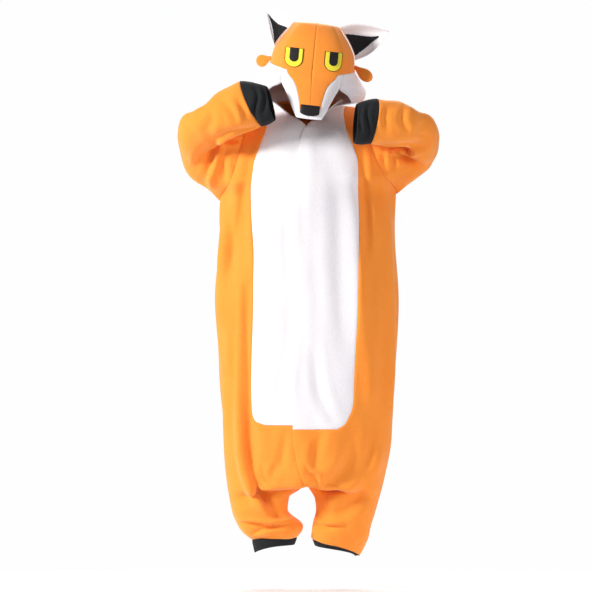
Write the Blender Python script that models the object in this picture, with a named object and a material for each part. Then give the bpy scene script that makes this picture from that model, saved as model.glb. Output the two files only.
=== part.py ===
"""Fox onesie: a worn, hollow fleece jumpsuit with a fox-head hood, arms bent up to the cheeks.

Metres, +Z up. The wearer faces -Y, the wearer's left is +X. The origin is on the midline at
shoulder height, where the wearer carries the garment. The tables give heights above the floor.

The cloth is laid out first as one sewn skin: grids of points for the fronts, backs, sleeves and
hood that share their seam points. Each cut piece is a set of the skin's cells, given a wall along
the skin's normals and drawn back a little from its seams.
"""

import math

import bpy
import numpy as np

HOLD_HEIGHT = 1.300        # shoulder height above the floor
CLOTH = 0.0026             # fleece wall
SEAM_GAP = 0.0003
FACE_CLEARANCE = 0.0018    # felts on the face stand clear of its flat facets
TWIST_GAP = 0.0018         # wider seams where the cloth twists most: sleeves and cheeks
PLACKET_LIFT = CLOTH + 0.0006
PLACKET_RAMP = 0.012       # how soon the left front rises on to the right one
FELT = 0.0015              # felt of the eyes
HEAD_ROLL = math.radians(6.5)
HEAD_PIVOT = (0.004, 1.366)
MUZZLE_TURN, MUZZLE_FROM = 0.085, 0.120    # how far the muzzle bends to the wearer's left, and from where

NECK_ROWS, CHEST_ROWS = 4, 4          # grid rows: shoulder seam to V, V to armpit
BELLY_COLUMNS, OUTER_COLUMNS = 3, 4   # grid columns of a front
NECK_COLUMNS = 5                      # more columns of a back, along the neckline
STRIP_COLUMNS = 2                     # the left front's lap over the right one
SHOULDER_SPLIT = (0.34, 0.42)         # where the belly's edge meets the front's top two rows
SLEEVE_RINGS = 12
ARMHOLE_FADE = 1.6                    # how many table rings keep some of the armhole's outline
CLOUD_STEPS = 120                     # how finely the hood is sampled to seat what is sewn on it
SIDES = {"right": -1, "left": 1}

# The side edge of each half: armhole down to row 5, then the side seam to the hem.
SIDE_EDGE = {
    #          row:  0      1      2      3      4      5      6      7      8      9
    "right_x":     (0.165, 0.171, 0.179, 0.192, 0.214, 0.243, 0.247, 0.258, 0.247, 0.236,
                    0.231, 0.225, 0.219, 0.213, 0.207, 0.197, 0.182, 0.154),
    "left_x":      (0.165, 0.171, 0.180, 0.195, 0.222, 0.258, 0.258, 0.266, 0.260, 0.244,
                    0.234, 0.223, 0.214, 0.205, 0.196, 0.183, 0.175, 0.148),
    "front_y":     (0.010, -0.035, -0.072, -0.090, -0.078, 0.0, 0.0, 0.0, 0.0, 0.0,
                    0.0, 0.0, 0.0, 0.0, 0.0, 0.0, 0.0, 0.0),
    "back_y":      (0.010, 0.052, 0.086, 0.100, 0.086, 0.0, 0.0, 0.0, 0.0, 0.0,
                    0.0, 0.0, 0.0, 0.0, 0.0, 0.0, 0.0, 0.0),
    "right_h":     (1.368, 1.343, 1.300, 1.235, 1.165, 1.108, 1.000, 0.830, 0.660, 0.470,
                    0.390, 0.325, 0.280, 0.245, 0.215, 0.188, 0.162, 0.138),
    "left_h":      (1.368, 1.343, 1.300, 1.240, 1.180, 1.128, 1.000, 0.830, 0.660, 0.470,
                    0.390, 0.325, 0.280, 0.245, 0.215, 0.180, 0.142, 0.096),
}
# The centre front: neckline to row 2, centre seam to the crotch in row 13, then the inseam.
FRONT_EDGE = {
    "right_x":     (0.085, 0.048, 0.0, 0.0, 0.0, 0.0, 0.0, 0.0, 0.0, 0.0,
                    0.0, 0.0, 0.0, 0.0, 0.046, 0.049, 0.012, 0.026),
    "left_x":      (0.085, 0.048, 0.0, 0.0, 0.0, 0.0, 0.0, 0.0, 0.0, 0.0,
                    0.0, 0.0, 0.0, 0.0, 0.027, 0.031, 0.021, 0.018),
    "y":           (0.0, -0.070, -0.112, -0.128, -0.142, -0.150, -0.150, -0.148, -0.146, -0.143,
                    -0.140, -0.134, -0.112, 0.0, 0.0, 0.0, 0.0, 0.0),
    "h":           (1.386, 1.354, 1.317, 1.255, 1.180, 1.105, 1.000, 0.830, 0.660, 0.467,
                    0.390, 0.330, 0.290, 0.302, 0.262, 0.228, 0.178, 0.146),
}
BACK_EDGE = {
    "y":           (0.088, 0.104, 0.118, 0.128, 0.132, 0.132, 0.128, 0.136, 0.136, 0.126,
                    0.118, 0.104, 0.060, 0.0, 0.0, 0.0, 0.0, 0.0),
    "h":           (1.398, 1.365, 1.320, 1.255, 1.180, 1.105, 1.000, 0.850, 0.680, 0.500,
                    0.410, 0.350, 0.318, 0.302, 0.262, 0.228, 0.178, 0.146),
}
# How each section swells between its edges: handles of a cubic curve. Reaches are shares of the
# section's width, pulls are distances forward on a front and backward on a back.
FULLNESS = {
    "centre_reach": (0.33, 0.40, 0.50, 0.50, 0.55, 0.60, 0.62, 0.62, 0.62, 0.60,
                     0.58, 0.50, 0.36, 0.10, 0.0, 0.0, 0.0, 0.0),
    "centre_pull":  (0.0, 0.005, 0.0, 0.0, 0.0, 0.0, 0.0, 0.0, 0.0, 0.0,
                     0.0, 0.005, 0.020, 0.085, 0.105, 0.098, 0.090, 0.066),
    "side_reach":   (0.33, 0.28, 0.25, 0.22, 0.18, 0.12, 0.03, 0.0, 0.0, 0.0,
                     0.0, 0.0, 0.0, 0.0, 0.0, 0.0, 0.0, 0.0),
    "side_pull":    (0.0, 0.012, 0.022, 0.030, 0.040, 0.060, 0.092, 0.100, 0.098, 0.095,
                     0.092, 0.088, 0.088, 0.095, 0.105, 0.098, 0.090, 0.066),
}
V_ROW, ARMPIT_ROW, BELLY_ROW, LAP_ROW, CROTCH_ROW = 2, 5, 9, 11.6, 13

# The white belly's outer edge and the left front's lapped edge, by height.
BELLY_EDGE = {
    "h":       (0.467, 0.480, 0.505, 0.545, 0.650, 0.800, 0.950, 1.130, 1.220, 1.270, 1.330, 1.390),
    "right_x": (0.118, 0.145, 0.158, 0.160, 0.157, 0.152, 0.149, 0.160, 0.152, 0.134, 0.112, 0.104),
    "left_x":  (0.088, 0.108, 0.122, 0.135, 0.139, 0.147, 0.149, 0.152, 0.150, 0.136, 0.112, 0.104),
}
LAP_EDGE = {
    "h":     (0.292, 0.338, 0.401, 0.464, 0.940, 1.228, 1.299, 1.317),
    "right": (0.003, 0.021, 0.035, 0.038, 0.038, 0.024, 0.014, 0.004),
}

# Sleeve rings: centre, then half axes up and towards the wearer's front. The first is the armhole.
RIGHT_SLEEVE = (
    # centre x,  y,      h       up x,    y,     h       front x, y,      h
    (-0.205, 0.004, 1.238, 0.038, 0.004, 0.132, 0.004, -0.095, 0.0),
    (-0.250, -0.008, 1.250, 0.040, 0.000, 0.105, 0.037, -0.082, 0.0),
    (-0.297, -0.030, 1.268, 0.028, 0.000, 0.080, 0.040, -0.046, 0.0),
    (-0.321, -0.085, 1.292, 0.000, 0.000, 0.062, 0.046, -0.006, 0.0),
    (-0.281, -0.142, 1.318, -0.028, 0.000, 0.048, 0.034, 0.030, 0.0),
    (-0.222, -0.168, 1.352, -0.030, 0.000, 0.060, 0.020, 0.050, 0.0),
    (-0.157, -0.180, 1.383, -0.028, 0.000, 0.064, 0.012, 0.048, 0.0),
)
LEFT_SLEEVE = (
    (0.208, 0.004, 1.245, -0.042, 0.004, 0.128, -0.004, -0.095, 0.0),
    (0.262, -0.008, 1.255, -0.030, 0.000, 0.100, -0.037, -0.082, 0.0),
    (0.317, -0.030, 1.272, -0.022, 0.000, 0.075, -0.040, -0.046, 0.0),
    (0.334, -0.085, 1.288, 0.000, 0.000, 0.055, -0.046, -0.006, 0.0),
    (0.306, -0.142, 1.312, 0.015, 0.000, 0.048, -0.034, 0.030, 0.0),
    (0.245, -0.170, 1.325, 0.015, 0.000, 0.062, -0.020, 0.050, 0.0),
    (0.192, -0.182, 1.334, 0.011, 0.000, 0.063, -0.012, 0.048, 0.0),
)
WRIST_CUFF_END = {
    "right": (-0.100, -0.190, 1.384, -0.012, 0.000, 0.048, 0.006, 0.044, 0.0),
    "left": (0.140, -0.192, 1.326, 0.004, 0.000, 0.056, -0.006, 0.046, 0.0),
}
ANKLE_CUFF_DROP = {"right": (0.021, 0.036), "left": (0.022, 0.004)}   # at the inseam, at the side
ANKLE_TAKE_IN = 0.12

# The hood, upright and on its own midline. The face runs from the centre front to its edge,
# which is the muzzle's lip up to the mouth corner in row 4; the side runs on to the centre back.
HOOD_FACE = {
    "front_y": (-0.205, -0.203, -0.190, -0.170, -0.156, -0.147, -0.134, -0.122, -0.104, -0.080, -0.048),
    "front_h": (1.339, 1.368, 1.396, 1.427, 1.452, 1.466, 1.525, 1.566, 1.594, 1.612, 1.617),
    "edge_x":  (0.036, 0.047, 0.060, 0.072, 0.083, 0.090, 0.092, 0.078, 0.062, 0.046, 0.0),
    "edge_y":  (-0.200, -0.186, -0.166, -0.146, -0.128, -0.118, -0.106, -0.096, -0.082, -0.062, -0.034),
    "edge_h":  (1.341, 1.362, 1.391, 1.416, 1.438, 1.479, 1.520, 1.562, 1.592, 1.612, 1.617),
}
HOOD_SIDE = {
    "edge_x":  (0.048, 0.082, 0.122, 0.108, 0.083, 0.090, 0.092, 0.078, 0.062, 0.046, 0.0),
    "edge_y":  (-0.070, -0.108, -0.114, -0.125, -0.128, -0.118, -0.106, -0.096, -0.082, -0.062, -0.034),
    "edge_h":  (1.356, 1.378, 1.400, 1.420, 1.438, 1.479, 1.520, 1.562, 1.592, 1.612, 1.617),
    "out_x":   (0.110, 0.125, 0.206, 0.222, 0.204, 0.152, 0.138, 0.114, 0.091, 0.078, 0.0),
    "out_y":   (-0.050, -0.070, -0.075, -0.070, -0.085, -0.045, -0.030, -0.025, -0.020, -0.020, 0.0),
    "back_x":  (0.090, 0.100, 0.115, 0.122, 0.124, 0.122, 0.118, 0.100, 0.079, 0.060, 0.0),
    "back_y":  (0.088, 0.104, 0.116, 0.124, 0.127, 0.127, 0.122, 0.112, 0.096, 0.074, 0.045),
    "back_h":  (1.400, 1.430, 1.452, 1.478, 1.500, 1.520, 1.550, 1.578, 1.598, 1.612, 1.617),
}
HOOD_ROWS, LIP_ROW, CHEEK_ROW = 10, 1, 5     # white up to the lip's row, and beside the bridge
FACE_COLUMNS, BRIDGE_COLUMNS = 4, 2
# Where the bridge's edge runs between the centre front and the face's edge, row by row.
BRIDGE_SHARE = (0.44, 0.40, 0.36, 0.37, 0.43, 0.60, 0.53, 0.50, 0.50, 0.50, 0.50)
WHITE_SIDE_COLUMNS = 4     # the cheek's share of the side, from its front edge

EYE_X, EYE_TOP = 0.0555, 1.538
# Each eye's three felts: half width, length down from the flat top, finish.
EYE_FELTS = {
    "eye_rim": (0.0255, 0.0560, "brown"),
    "eye_yellow": (0.0230, 0.0535, "yellow"),
    "pupil": (0.0120, 0.0390, "black"),
}
NOSE_HALF, NOSE_TOP, NOSE_LENGTH, NOSE_THICK = 0.0270, 1.3780, 0.030, 0.0045

# Ears, in the hood's upright frame: middle of the root, tip, half of the root across (to the upper
# corner), and how far the upper and the lower edge swell. Each has a white shell and a black lining.
EARS = {
    "left": ((0.086, -0.036, 1.564), (0.209, -0.022, 1.618), (-0.0270, 0.000, 0.0420), (0.016, 0.014)),
    "right": ((-0.089, -0.028, 1.576), (-0.149, 0.044, 1.640), (0.0270, -0.008, 0.0360), (0.021, 0.003)),
}
EAR_CUP, EAR_CLOTH, EAR_TAPER, LINING_CLEARANCE = 0.024, 0.0028, 0.85, 0.0034
# Each lining is a triangle on its ear: where it starts and ends along the ear, its lower and upper
# corner across the root, and where across the ear its point lies.
EAR_LINING = {
    "left": {"near": 0.02, "far": 0.76, "low": -0.74, "high": 0.56, "point": -0.20},
    "right": {"near": 0.02, "far": 0.88, "low": -0.86, "high": 0.14, "point": -0.50},
}
LINING_POINT = 0.12        # the lining's width at its point, as a share of its root's
# Tufts beside the eyes: root, tip (upright frame), then half height and half thickness.
TUFTS = {
    "left": ((0.118, -0.036, 1.506), (0.172, -0.082, 1.472)),
    "right": ((-0.119, -0.030, 1.504), (-0.160, -0.008, 1.486)),
}
TUFT_HIGH, TUFT_THICK, TUFT_CLEARANCE = 0.0175, 0.0060, 0.0048
TUFT_FULL_AT, TUFT_NECK, TUFT_ROUND = 0.62, 0.30, 0.40    # widest place, root's width, tip's reach

COLOURS = {
    "orange": ((0.92, 0.33, 0.055), 0.95),
    "white": ((0.86, 0.85, 0.88), 0.95),
    "black": ((0.015, 0.016, 0.018), 0.92),
    "yellow": ((0.88, 0.78, 0.07), 0.85),
    "brown": ((0.06, 0.035, 0.015), 0.85),
    "nose": ((0.012, 0.010, 0.016), 0.6),
}


def smooth(values, at):
    """Monotone cubic curve through values at 0, 1, 2, ...: slopes are harmonic means of the steps."""
    values = np.asarray(values, float)
    step = np.diff(values)
    slope = np.zeros(len(values))
    same = step[:-1] * step[1:] > 0
    inner = np.zeros(len(step) - 1)
    inner[same] = 2 * step[:-1][same] * step[1:][same] / (step[:-1] + step[1:])[same]
    slope[1:-1] = inner
    slope[0], slope[-1] = step[0], step[-1]
    at = np.clip(np.asarray(at, float), 0, len(values) - 1)
    cell = np.minimum(at.astype(int), len(values) - 2)
    t = at - cell
    a, b = values[cell], values[cell + 1]
    return (
        a * (1 + 2 * t) * (1 - t) ** 2 + b * t * t * (3 - 2 * t)
        + slope[cell] * t * (1 - t) ** 2 - slope[cell + 1] * t * t * (1 - t)
    )


def cubic(a, b, c, d, t):
    """Cubic Bezier curve through control values of each row (rows x 1) at each column t."""
    return a * (1 - t) ** 3 + 3 * b * t * (1 - t) ** 2 + 3 * c * t * t * (1 - t) + d * t ** 3


def ramp(x):
    """0 to 1, level at both ends."""
    x = np.clip(x, 0, 1)
    return x * x * (3 - 2 * x)


def body_surface(side, face, row, t):
    """Point of a body half: a cubic section from its centre edge (t = 0) to its side edge (t = 1)."""
    row, t = np.broadcast_arrays(np.asarray(row, float), np.asarray(t, float))
    centre = FRONT_EDGE if face == "front" else BACK_EDGE
    centre_x = smooth(FRONT_EDGE[side + "_x"], row)
    if face == "back":
        centre_x = np.where(row < CROTCH_ROW, 0.0, centre_x)
    side_x = smooth(SIDE_EDGE[side + "_x"], row)
    wide = side_x - centre_x
    out = -1 if face == "front" else 1
    shape = {key: smooth(column, row) for key, column in FULLNESS.items()}
    centre_y, side_y = smooth(centre["y"], row), smooth(SIDE_EDGE[face + "_y"], row)
    x = cubic(
        centre_x, centre_x + shape["centre_reach"] * wide,
        side_x - shape["side_reach"] * wide, side_x, t,
    )
    y = cubic(
        centre_y, centre_y + out * shape["centre_pull"], side_y + out * shape["side_pull"], side_y, t
    )
    h = smooth(centre["h"], row) * (1 - t) + smooth(SIDE_EDGE[side + "_h"], row) * t
    return np.stack([SIDES[side] * x, y, h], axis=-1)


def share_at_x(side, rows, x):
    """For each row, the t of the front section at which it is x from the midline."""
    t = np.linspace(0, 1, 201)
    sections = np.abs(body_surface(side, "front", rows[:, None], t)[..., 0])
    return np.array([np.interp(limit, section, t) for limit, section in zip(x, sections)])


def row_numbers(below_armpit):
    """Section numbers of the grid's rows: shoulder to V, V to armpit, and those given below it."""
    return np.concatenate([
        np.linspace(0, V_ROW, NECK_ROWS + 1)[:-1],
        np.linspace(V_ROW, ARMPIT_ROW, CHEST_ROWS + 1),
        below_armpit,
    ])


ROWS = row_numbers([6, 7, 8, 8.72, 9, 10, 11, 11.6, 12.2, 13, 13.6, 14.3, 15, 16, 17])
FIRST_V, FIRST_ARMPIT = NECK_ROWS, NECK_ROWS + CHEST_ROWS
FIRST_BELLY_END = int(np.argmin(abs(ROWS - BELLY_ROW)))
LAP_END = int(np.argmin(abs(ROWS - LAP_ROW)))


def front_grid(side):
    """A front's points: columns bunch to the belly's edge, then to the side edge."""
    heights = smooth(FRONT_EDGE["h"], ROWS)
    edge_x = np.interp(heights, BELLY_EDGE["h"], BELLY_EDGE[side + "_x"])
    split = share_at_x(side, ROWS, edge_x)
    low = np.arange(len(ROWS)) > FIRST_BELLY_END
    split[low] = np.linspace(split[FIRST_BELLY_END], 0.5, low.sum())
    split[:2] = SHOULDER_SPLIT
    inner = split[:, None] * np.linspace(0, 1, BELLY_COLUMNS + 1)
    outer = split[:, None] + (1 - split[:, None]) * np.linspace(0, 1, OUTER_COLUMNS + 1)[1:]
    return body_surface(side, "front", ROWS[:, None], np.hstack([inner, outer]))


def back_grid(side, shoulder):
    """A back's points. Its top row follows the neckline and then the front's shoulder seam."""
    count = NECK_COLUMNS + len(shoulder) - 1
    grid = body_surface(side, "back", ROWS[:, None], np.linspace(0, 1, count + 1)[None, :])
    angle = np.linspace(0, math.pi / 2, NECK_COLUMNS + 1)[:-1]
    neck, back_y, back_h = shoulder[0], BACK_EDGE["y"][0], BACK_EDGE["h"][0]
    grid[0, :NECK_COLUMNS, 0] = neck[0] * np.sin(angle)
    grid[0, :NECK_COLUMNS, 1] = neck[1] + (back_y - neck[1]) * np.cos(angle)
    grid[0, :NECK_COLUMNS, 2] = neck[2] + (back_h - neck[2]) * np.cos(angle)
    grid[0, NECK_COLUMNS:] = shoulder
    return grid


def lap_grid():
    """The left front's lap: the right front's own points from the lapped edge to the midline."""
    rows = ROWS[FIRST_V:LAP_END + 1]
    heights = smooth(FRONT_EDGE["h"], rows)
    far = share_at_x("right", rows, np.interp(heights, LAP_EDGE["h"], LAP_EDGE["right"]))
    return body_surface("right", "front", rows[:, None], far[:, None] * np.linspace(1, 0, STRIP_COLUMNS + 1))


def ring_points(ring, turn):
    """Ellipse about the ring's centre: up axis at turn 0, the wearer's front at a quarter."""
    ring = np.asarray(ring)
    turn = np.asarray(turn)[..., None]
    return ring[..., 0:3] + ring[..., 3:6] * np.cos(turn) + ring[..., 6:9] * np.sin(turn)


def sleeve_grid(side, armhole):
    """Rings from the armhole to the cuff. The armhole's own outline fades out along the upper arm."""
    table = np.array(RIGHT_SLEEVE if side == "right" else LEFT_SLEEVE)
    at = np.linspace(0, len(table) - 1, SLEEVE_RINGS + 1)
    rings = np.stack([smooth(column, at) for column in table.T], axis=-1)
    turn = np.linspace(0, 2 * math.pi, len(armhole))
    grid = ring_points(rings[:, None, :], turn[None, :])
    fade = np.clip(1 - at / ARMHOLE_FADE, 0, 1)[:, None, None] ** 2
    return grid + fade * (armhole - ring_points(table[0], turn))


def roll_head(points, weight=1.0):
    """Tips the head to the wearer's left about its chin, in full or, at the neck, in part."""
    weight = np.asarray(weight)[..., None] if np.ndim(weight) else weight
    across = points[..., 0] + MUZZLE_TURN * np.maximum(-points[..., 1] - MUZZLE_FROM, 0)
    up = points[..., 2] - HEAD_PIVOT[1]
    turned = np.stack([
        HEAD_PIVOT[0] + across * math.cos(HEAD_ROLL) + up * math.sin(HEAD_ROLL),
        points[..., 1],
        HEAD_PIVOT[1] - across * math.sin(HEAD_ROLL) + up * math.cos(HEAD_ROLL),
    ], axis=-1)
    return points + (turned - points) * weight


def face_surface(row, t):
    """Half the hood's face, wearer's left: a cubic section from the centre front to its edge."""
    row, t = np.broadcast_arrays(np.asarray(row, float), np.asarray(t, float))
    get = {key: smooth(column, row) for key, column in HOOD_FACE.items()}
    x = cubic(0 * row, 0.6 * get["edge_x"], 0.95 * get["edge_x"], get["edge_x"], t)
    y = cubic(
        get["front_y"], get["front_y"], 0.55 * get["front_y"] + 0.45 * get["edge_y"], get["edge_y"], t
    )
    h = get["front_h"] * (1 - t) + get["edge_h"] * t
    return np.stack([x, y, h], axis=-1)


def side_surface(row, t):
    """Half the hood's side, wearer's left: a cubic section from its front edge to the centre back."""
    row, t = np.broadcast_arrays(np.asarray(row, float), np.asarray(t, float))
    get = {key: smooth(column, row) for key, column in HOOD_SIDE.items()}
    x = cubic(get["edge_x"], get["out_x"], get["back_x"], 0 * row, t)
    y = cubic(get["edge_y"], get["out_y"], get["back_y"], get["back_y"], t)
    h = get["edge_h"] * (1 - t) + get["back_h"] * t
    return np.stack([x, y, h], axis=-1)


def face_grid(side):
    rows = np.arange(HOOD_ROWS + 1.0)[:, None]
    bridge = smooth(BRIDGE_SHARE, rows)
    inner = bridge * np.linspace(0, 1, BRIDGE_COLUMNS + 1)
    outer = bridge + (1 - bridge) * np.linspace(0, 1, FACE_COLUMNS - BRIDGE_COLUMNS + 1)[1:]
    points = face_surface(rows, np.hstack([inner, outer]))
    points[..., 0] *= SIDES[side]
    return roll_head(points)


def side_grid(side, neckline):
    """The hood's side. Its lowest row is the body's neckline, and the roll fades out above it."""
    rows = np.arange(HOOD_ROWS + 1.0)
    points = side_surface(rows[:, None], np.linspace(0, 1, len(neckline))[None, :])
    points[..., 0] *= SIDES[side]
    weight = np.interp(rows, (0, 1, 2), (0.0, 0.3, 1.0))
    points = roll_head(points, np.broadcast_to(weight[:, None], points.shape[:2]))
    points[0] = neckline
    return points


class Skin:
    """Every grid of the sewn cloth in one list of points, with seam points shared."""

    def __init__(self):
        self.points, self.quads, self.pieces = [], [], {}
        self.count = 0

    def add(self, grid, name_of_cell, inside):
        """Adds a grid. name_of_cell(row, column) names the piece; inside is a point within the cloth."""
        rows, columns = grid.shape[:2]
        index = self.count + np.arange(rows * columns).reshape(rows, columns)
        quads = np.stack([index[:-1, :-1], index[:-1, 1:], index[1:, 1:], index[1:, :-1]], axis=-1)
        corners = grid.reshape(-1, 3)[quads - self.count]
        normal = np.cross(corners[..., 2, :] - corners[..., 0, :], corners[..., 3, :] - corners[..., 1, :])
        away = corners.mean(axis=2) - np.asarray(inside)
        if (normal * away).sum() < 0:
            quads = quads[..., ::-1]
        for row in range(rows - 1):
            for column in range(columns - 1):
                name = name_of_cell(row, column)
                if name:
                    self.pieces.setdefault(name, []).append(len(self.quads))
                    self.quads.append(quads[row, column])
        self.points.append(grid.reshape(-1, 3))
        self.count += rows * columns

    def sew(self):
        """Merges points that meet, and works out the skin's normal at each."""
        points = np.concatenate(self.points)
        keys = np.round(points / 2e-5).astype(np.int64)
        _, first, index = np.unique(keys, axis=0, return_index=True, return_inverse=True)
        self.points = points[first]
        self.quads = index.reshape(-1)[np.array(self.quads)]
        corners = self.points[self.quads]
        normal = np.cross(corners[:, 2] - corners[:, 0], corners[:, 3] - corners[:, 1])
        self.normals = np.zeros_like(self.points)
        for corner in range(4):
            np.add.at(self.normals, self.quads[:, corner], normal)
        size = np.linalg.norm(self.normals, axis=1, keepdims=True)
        self.normals /= np.where(size > 0, size, 1)

    def wall(self, name, gap, thickness=CLOTH):
        """A piece's closed wall: an outer and an inner face, drawn back from its edges, and a rim."""
        quads = [[q for i, q in enumerate(quad) if q != quad[i - 1]] for quad in self.quads[self.pieces[name]]]
        edges = {}
        for quad in quads:
            centre = self.points[quad].mean(axis=0)
            for a, b in zip(quad, quad[1:] + quad[:1]):
                edges.pop((b, a), None) if (b, a) in edges else edges.setdefault((a, b), centre)
        inward = {}
        for (a, b), centre in edges.items():
            along = self.points[b] - self.points[a]
            along /= np.linalg.norm(along)
            across = centre - self.points[a]
            across -= along * (across @ along)
            across /= np.linalg.norm(across)
            for end in (a, b):
                inward[end] = inward.get(end, 0) + across
        used = sorted({q for quad in quads for q in quad})
        place = {q: i for i, q in enumerate(used)}
        middle = self.points[used].copy()
        for q, move in inward.items():
            mitre = 2 * move / max(move @ move, 0.5)
            middle[place[q]] += mitre * gap / 2
        outer = middle + self.normals[used] * thickness / 2
        inner = middle - self.normals[used] * thickness / 2
        halves = [[place[q] for q in half] for quad in quads for half in self.split(quad)]
        faces = halves + [[q + len(used) for q in half[::-1]] for half in halves]
        faces += [[place[b], place[a], place[a] + len(used), place[b] + len(used)] for a, b in edges]
        return np.concatenate([outer, inner]), faces

    def split(self, quad):
        """A cell's two triangles, cut along its shorter diagonal, so both faces of a wall agree."""
        if len(quad) < 4:
            return [quad]
        a, b, c, d = quad
        if np.linalg.norm(self.points[a] - self.points[c]) > np.linalg.norm(self.points[b] - self.points[d]):
            a, b, c, d = b, c, d, a
        return [[a, b, c], [a, c, d]]


def new_object(name, points, faces, finish):
    """Makes a mesh object from points with heights above the floor."""
    mesh = bpy.data.meshes.new(name)
    points = np.array(points, float)
    points[:, 2] -= HOLD_HEIGHT
    mesh.from_pydata(points.tolist(), [], faces)
    mesh.update()
    mesh.shade_smooth()
    obj = bpy.data.objects.new(name, mesh)
    bpy.context.scene.collection.objects.link(obj)
    obj.data.materials.append(finish)
    return obj


def make_finish(name):
    colour, roughness = COLOURS[name]
    material = bpy.data.materials.new("fleece_" + name)
    material.use_nodes = True
    shader = material.node_tree.nodes["Principled BSDF"]
    shader.inputs["Base Color"].default_value = (*colour, 1)
    shader.inputs["Roughness"].default_value = roughness
    shader.inputs["Metallic"].default_value = 0
    return material


def sew_body(skin):
    """Adds fronts, backs, sleeves, cuffs and hood, each sharing its seams with its neighbours."""
    for side, sign in SIDES.items():
        front = front_grid(side)
        back = back_grid(side, front[0])
        heart = [0.11 * sign, 0.0, 0.70]

        def front_piece(row, column, side=side):
            belly = column < BELLY_COLUMNS and row < FIRST_BELLY_END
            return side + ("_belly" if belly else "_front")

        if side == "left":
            add_left_front(skin, front, front_piece, heart)
        else:
            skin.add(front, front_piece, heart)
        skin.add(back, lambda row, column, side=side: side + "_back", heart)

        down = front[:FIRST_ARMPIT + 1, -1]
        up = back[:FIRST_ARMPIT + 1, -1][::-1]
        armhole = np.concatenate([down, up[1:]])
        sleeve = sleeve_grid(side, armhole)
        skin_tube(skin, sleeve, side + "_sleeve")
        end = ring_points(np.array(WRIST_CUFF_END[side]), np.linspace(0, 2 * math.pi, len(armhole)))
        skin_tube(skin, np.stack([sleeve[-1], (sleeve[-1] + end) / 2, end]), side + "_wrist_cuff")

        hem = np.concatenate([front[-1], back[-1][::-1][1:]])
        skin_tube(skin, ankle_grid(side, hem), side + "_ankle_cuff")

        neckline = np.concatenate([front[:3, 0][::-1], back[0, :NECK_COLUMNS][::-1]])
        add_hood(skin, side, neckline)


def lap_rise():
    """Which way is out of the garment along its centre front, as (y, h) for each row."""
    line = np.stack([smooth(FRONT_EDGE["y"], ROWS), smooth(FRONT_EDGE["h"], ROWS)], axis=-1)
    along = np.gradient(line, axis=0)
    out = np.stack([along[:, 1], -along[:, 0]], axis=-1)
    return out / np.linalg.norm(out, axis=1, keepdims=True)


def add_left_front(skin, front, front_piece, heart):
    """The left front rises near the midline and laps over the right one by the placket's width."""
    share = ramp(1 - np.abs(front[..., 0]) / PLACKET_RAMP)
    share[:FIRST_V] = 0
    share[LAP_END + 1:] = 0
    front = front.copy()
    rise = lap_rise() * PLACKET_LIFT
    front[..., 1:] += share[..., None] * rise[:, None, :]
    skin.add(front, front_piece, heart)
    lap = lap_grid()
    lap[..., 1:] += rise[FIRST_V:LAP_END + 1, None, :]
    lap[:, -1] = front[FIRST_V:LAP_END + 1, 0]

    def lap_piece(row, column):
        return "left_belly" if row + FIRST_V < FIRST_BELLY_END else "left_front"

    skin.add(lap, lap_piece, heart)


def skin_tube(skin, grid, name):
    """Adds a tube ring by ring, so that which way is out is judged close to each ring."""
    half = len(grid) // 2
    skin.add(grid[:half + 1], lambda row, column: name, grid[:half + 1, :-1].mean(axis=(0, 1)))
    if half + 1 < len(grid):
        skin.add(grid[half:], lambda row, column: name, grid[half:, :-1].mean(axis=(0, 1)))


def ankle_grid(side, hem):
    """The black ankle cuff: the hem taken in a little and carried down, uneven as it slumps."""
    inseam_drop, side_drop = ANKLE_CUFF_DROP[side]
    centre = hem.mean(axis=0)
    side_x = hem[:, 0].max() if side == "left" else hem[:, 0].min()
    share = (hem[:, 0] - hem[0, 0]) / (side_x - hem[0, 0])
    low = hem + (centre - hem) * ANKLE_TAKE_IN
    low[:, 2] = hem[:, 2] - inseam_drop - (side_drop - inseam_drop) * share ** 3
    middle = (hem + low) / 2
    return np.stack([hem, middle, low])


def add_hood(skin, side, neckline):
    face, around = face_grid(side), side_grid(side, neckline)
    inside = roll_head(np.array([0.0, 0.0, 1.50]))

    def face_piece(row, column):
        white = row < LIP_ROW or (column >= BRIDGE_COLUMNS and row < CHEEK_ROW)
        return side + ("_cheek" if white else "_hood")

    def around_piece(row, column):
        white = column < WHITE_SIDE_COLUMNS and row < CHEEK_ROW
        return side + ("_cheek" if white else "_hood")

    skin.add(face, face_piece, inside)
    skin.add(around, around_piece, inside)


def locate_on_face(x, h):
    """Row and share of the face's surface at each (x, h), by Newton steps."""
    row, t = np.interp(h, HOOD_FACE["front_h"], np.arange(HOOD_ROWS + 1.0)), 0.5 + 0 * x
    small = 1e-4
    for _ in range(12):
        here = face_surface(row, t)
        by_row = (face_surface(row + small, t) - here) / small
        by_t = (face_surface(row, t + small) - here) / small
        miss_x, miss_h = x - here[..., 0], h - here[..., 2]
        scale = by_row[..., 0] * by_t[..., 2] - by_row[..., 2] * by_t[..., 0]
        scale = np.where(abs(scale) < 1e-9, 1e-9, scale)
        row = np.clip(row + np.clip((miss_x * by_t[..., 2] - miss_h * by_t[..., 0]) / scale, -1, 1), 0, 9.9)
        t = np.clip(t + np.clip((miss_h * by_row[..., 0] - miss_x * by_row[..., 2]) / scale, -0.3, 0.3), 0, 0.99)
    return row, t


def face_points(x, h, lift):
    """Points of the face at (x, h), either side of the midline, moved out along its normal."""
    row, t = locate_on_face(np.abs(x), h)
    small = 1e-3
    here = face_surface(row, t)
    across = face_surface(row, t + small) - here
    up = face_surface(row + small, t) - here
    out = np.cross(across, up)
    out /= np.linalg.norm(out, axis=-1, keepdims=True)
    here = here + out * np.asarray(lift)[..., None]
    here[..., 0] *= np.where(x < 0, -1, 1)
    return here


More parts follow.
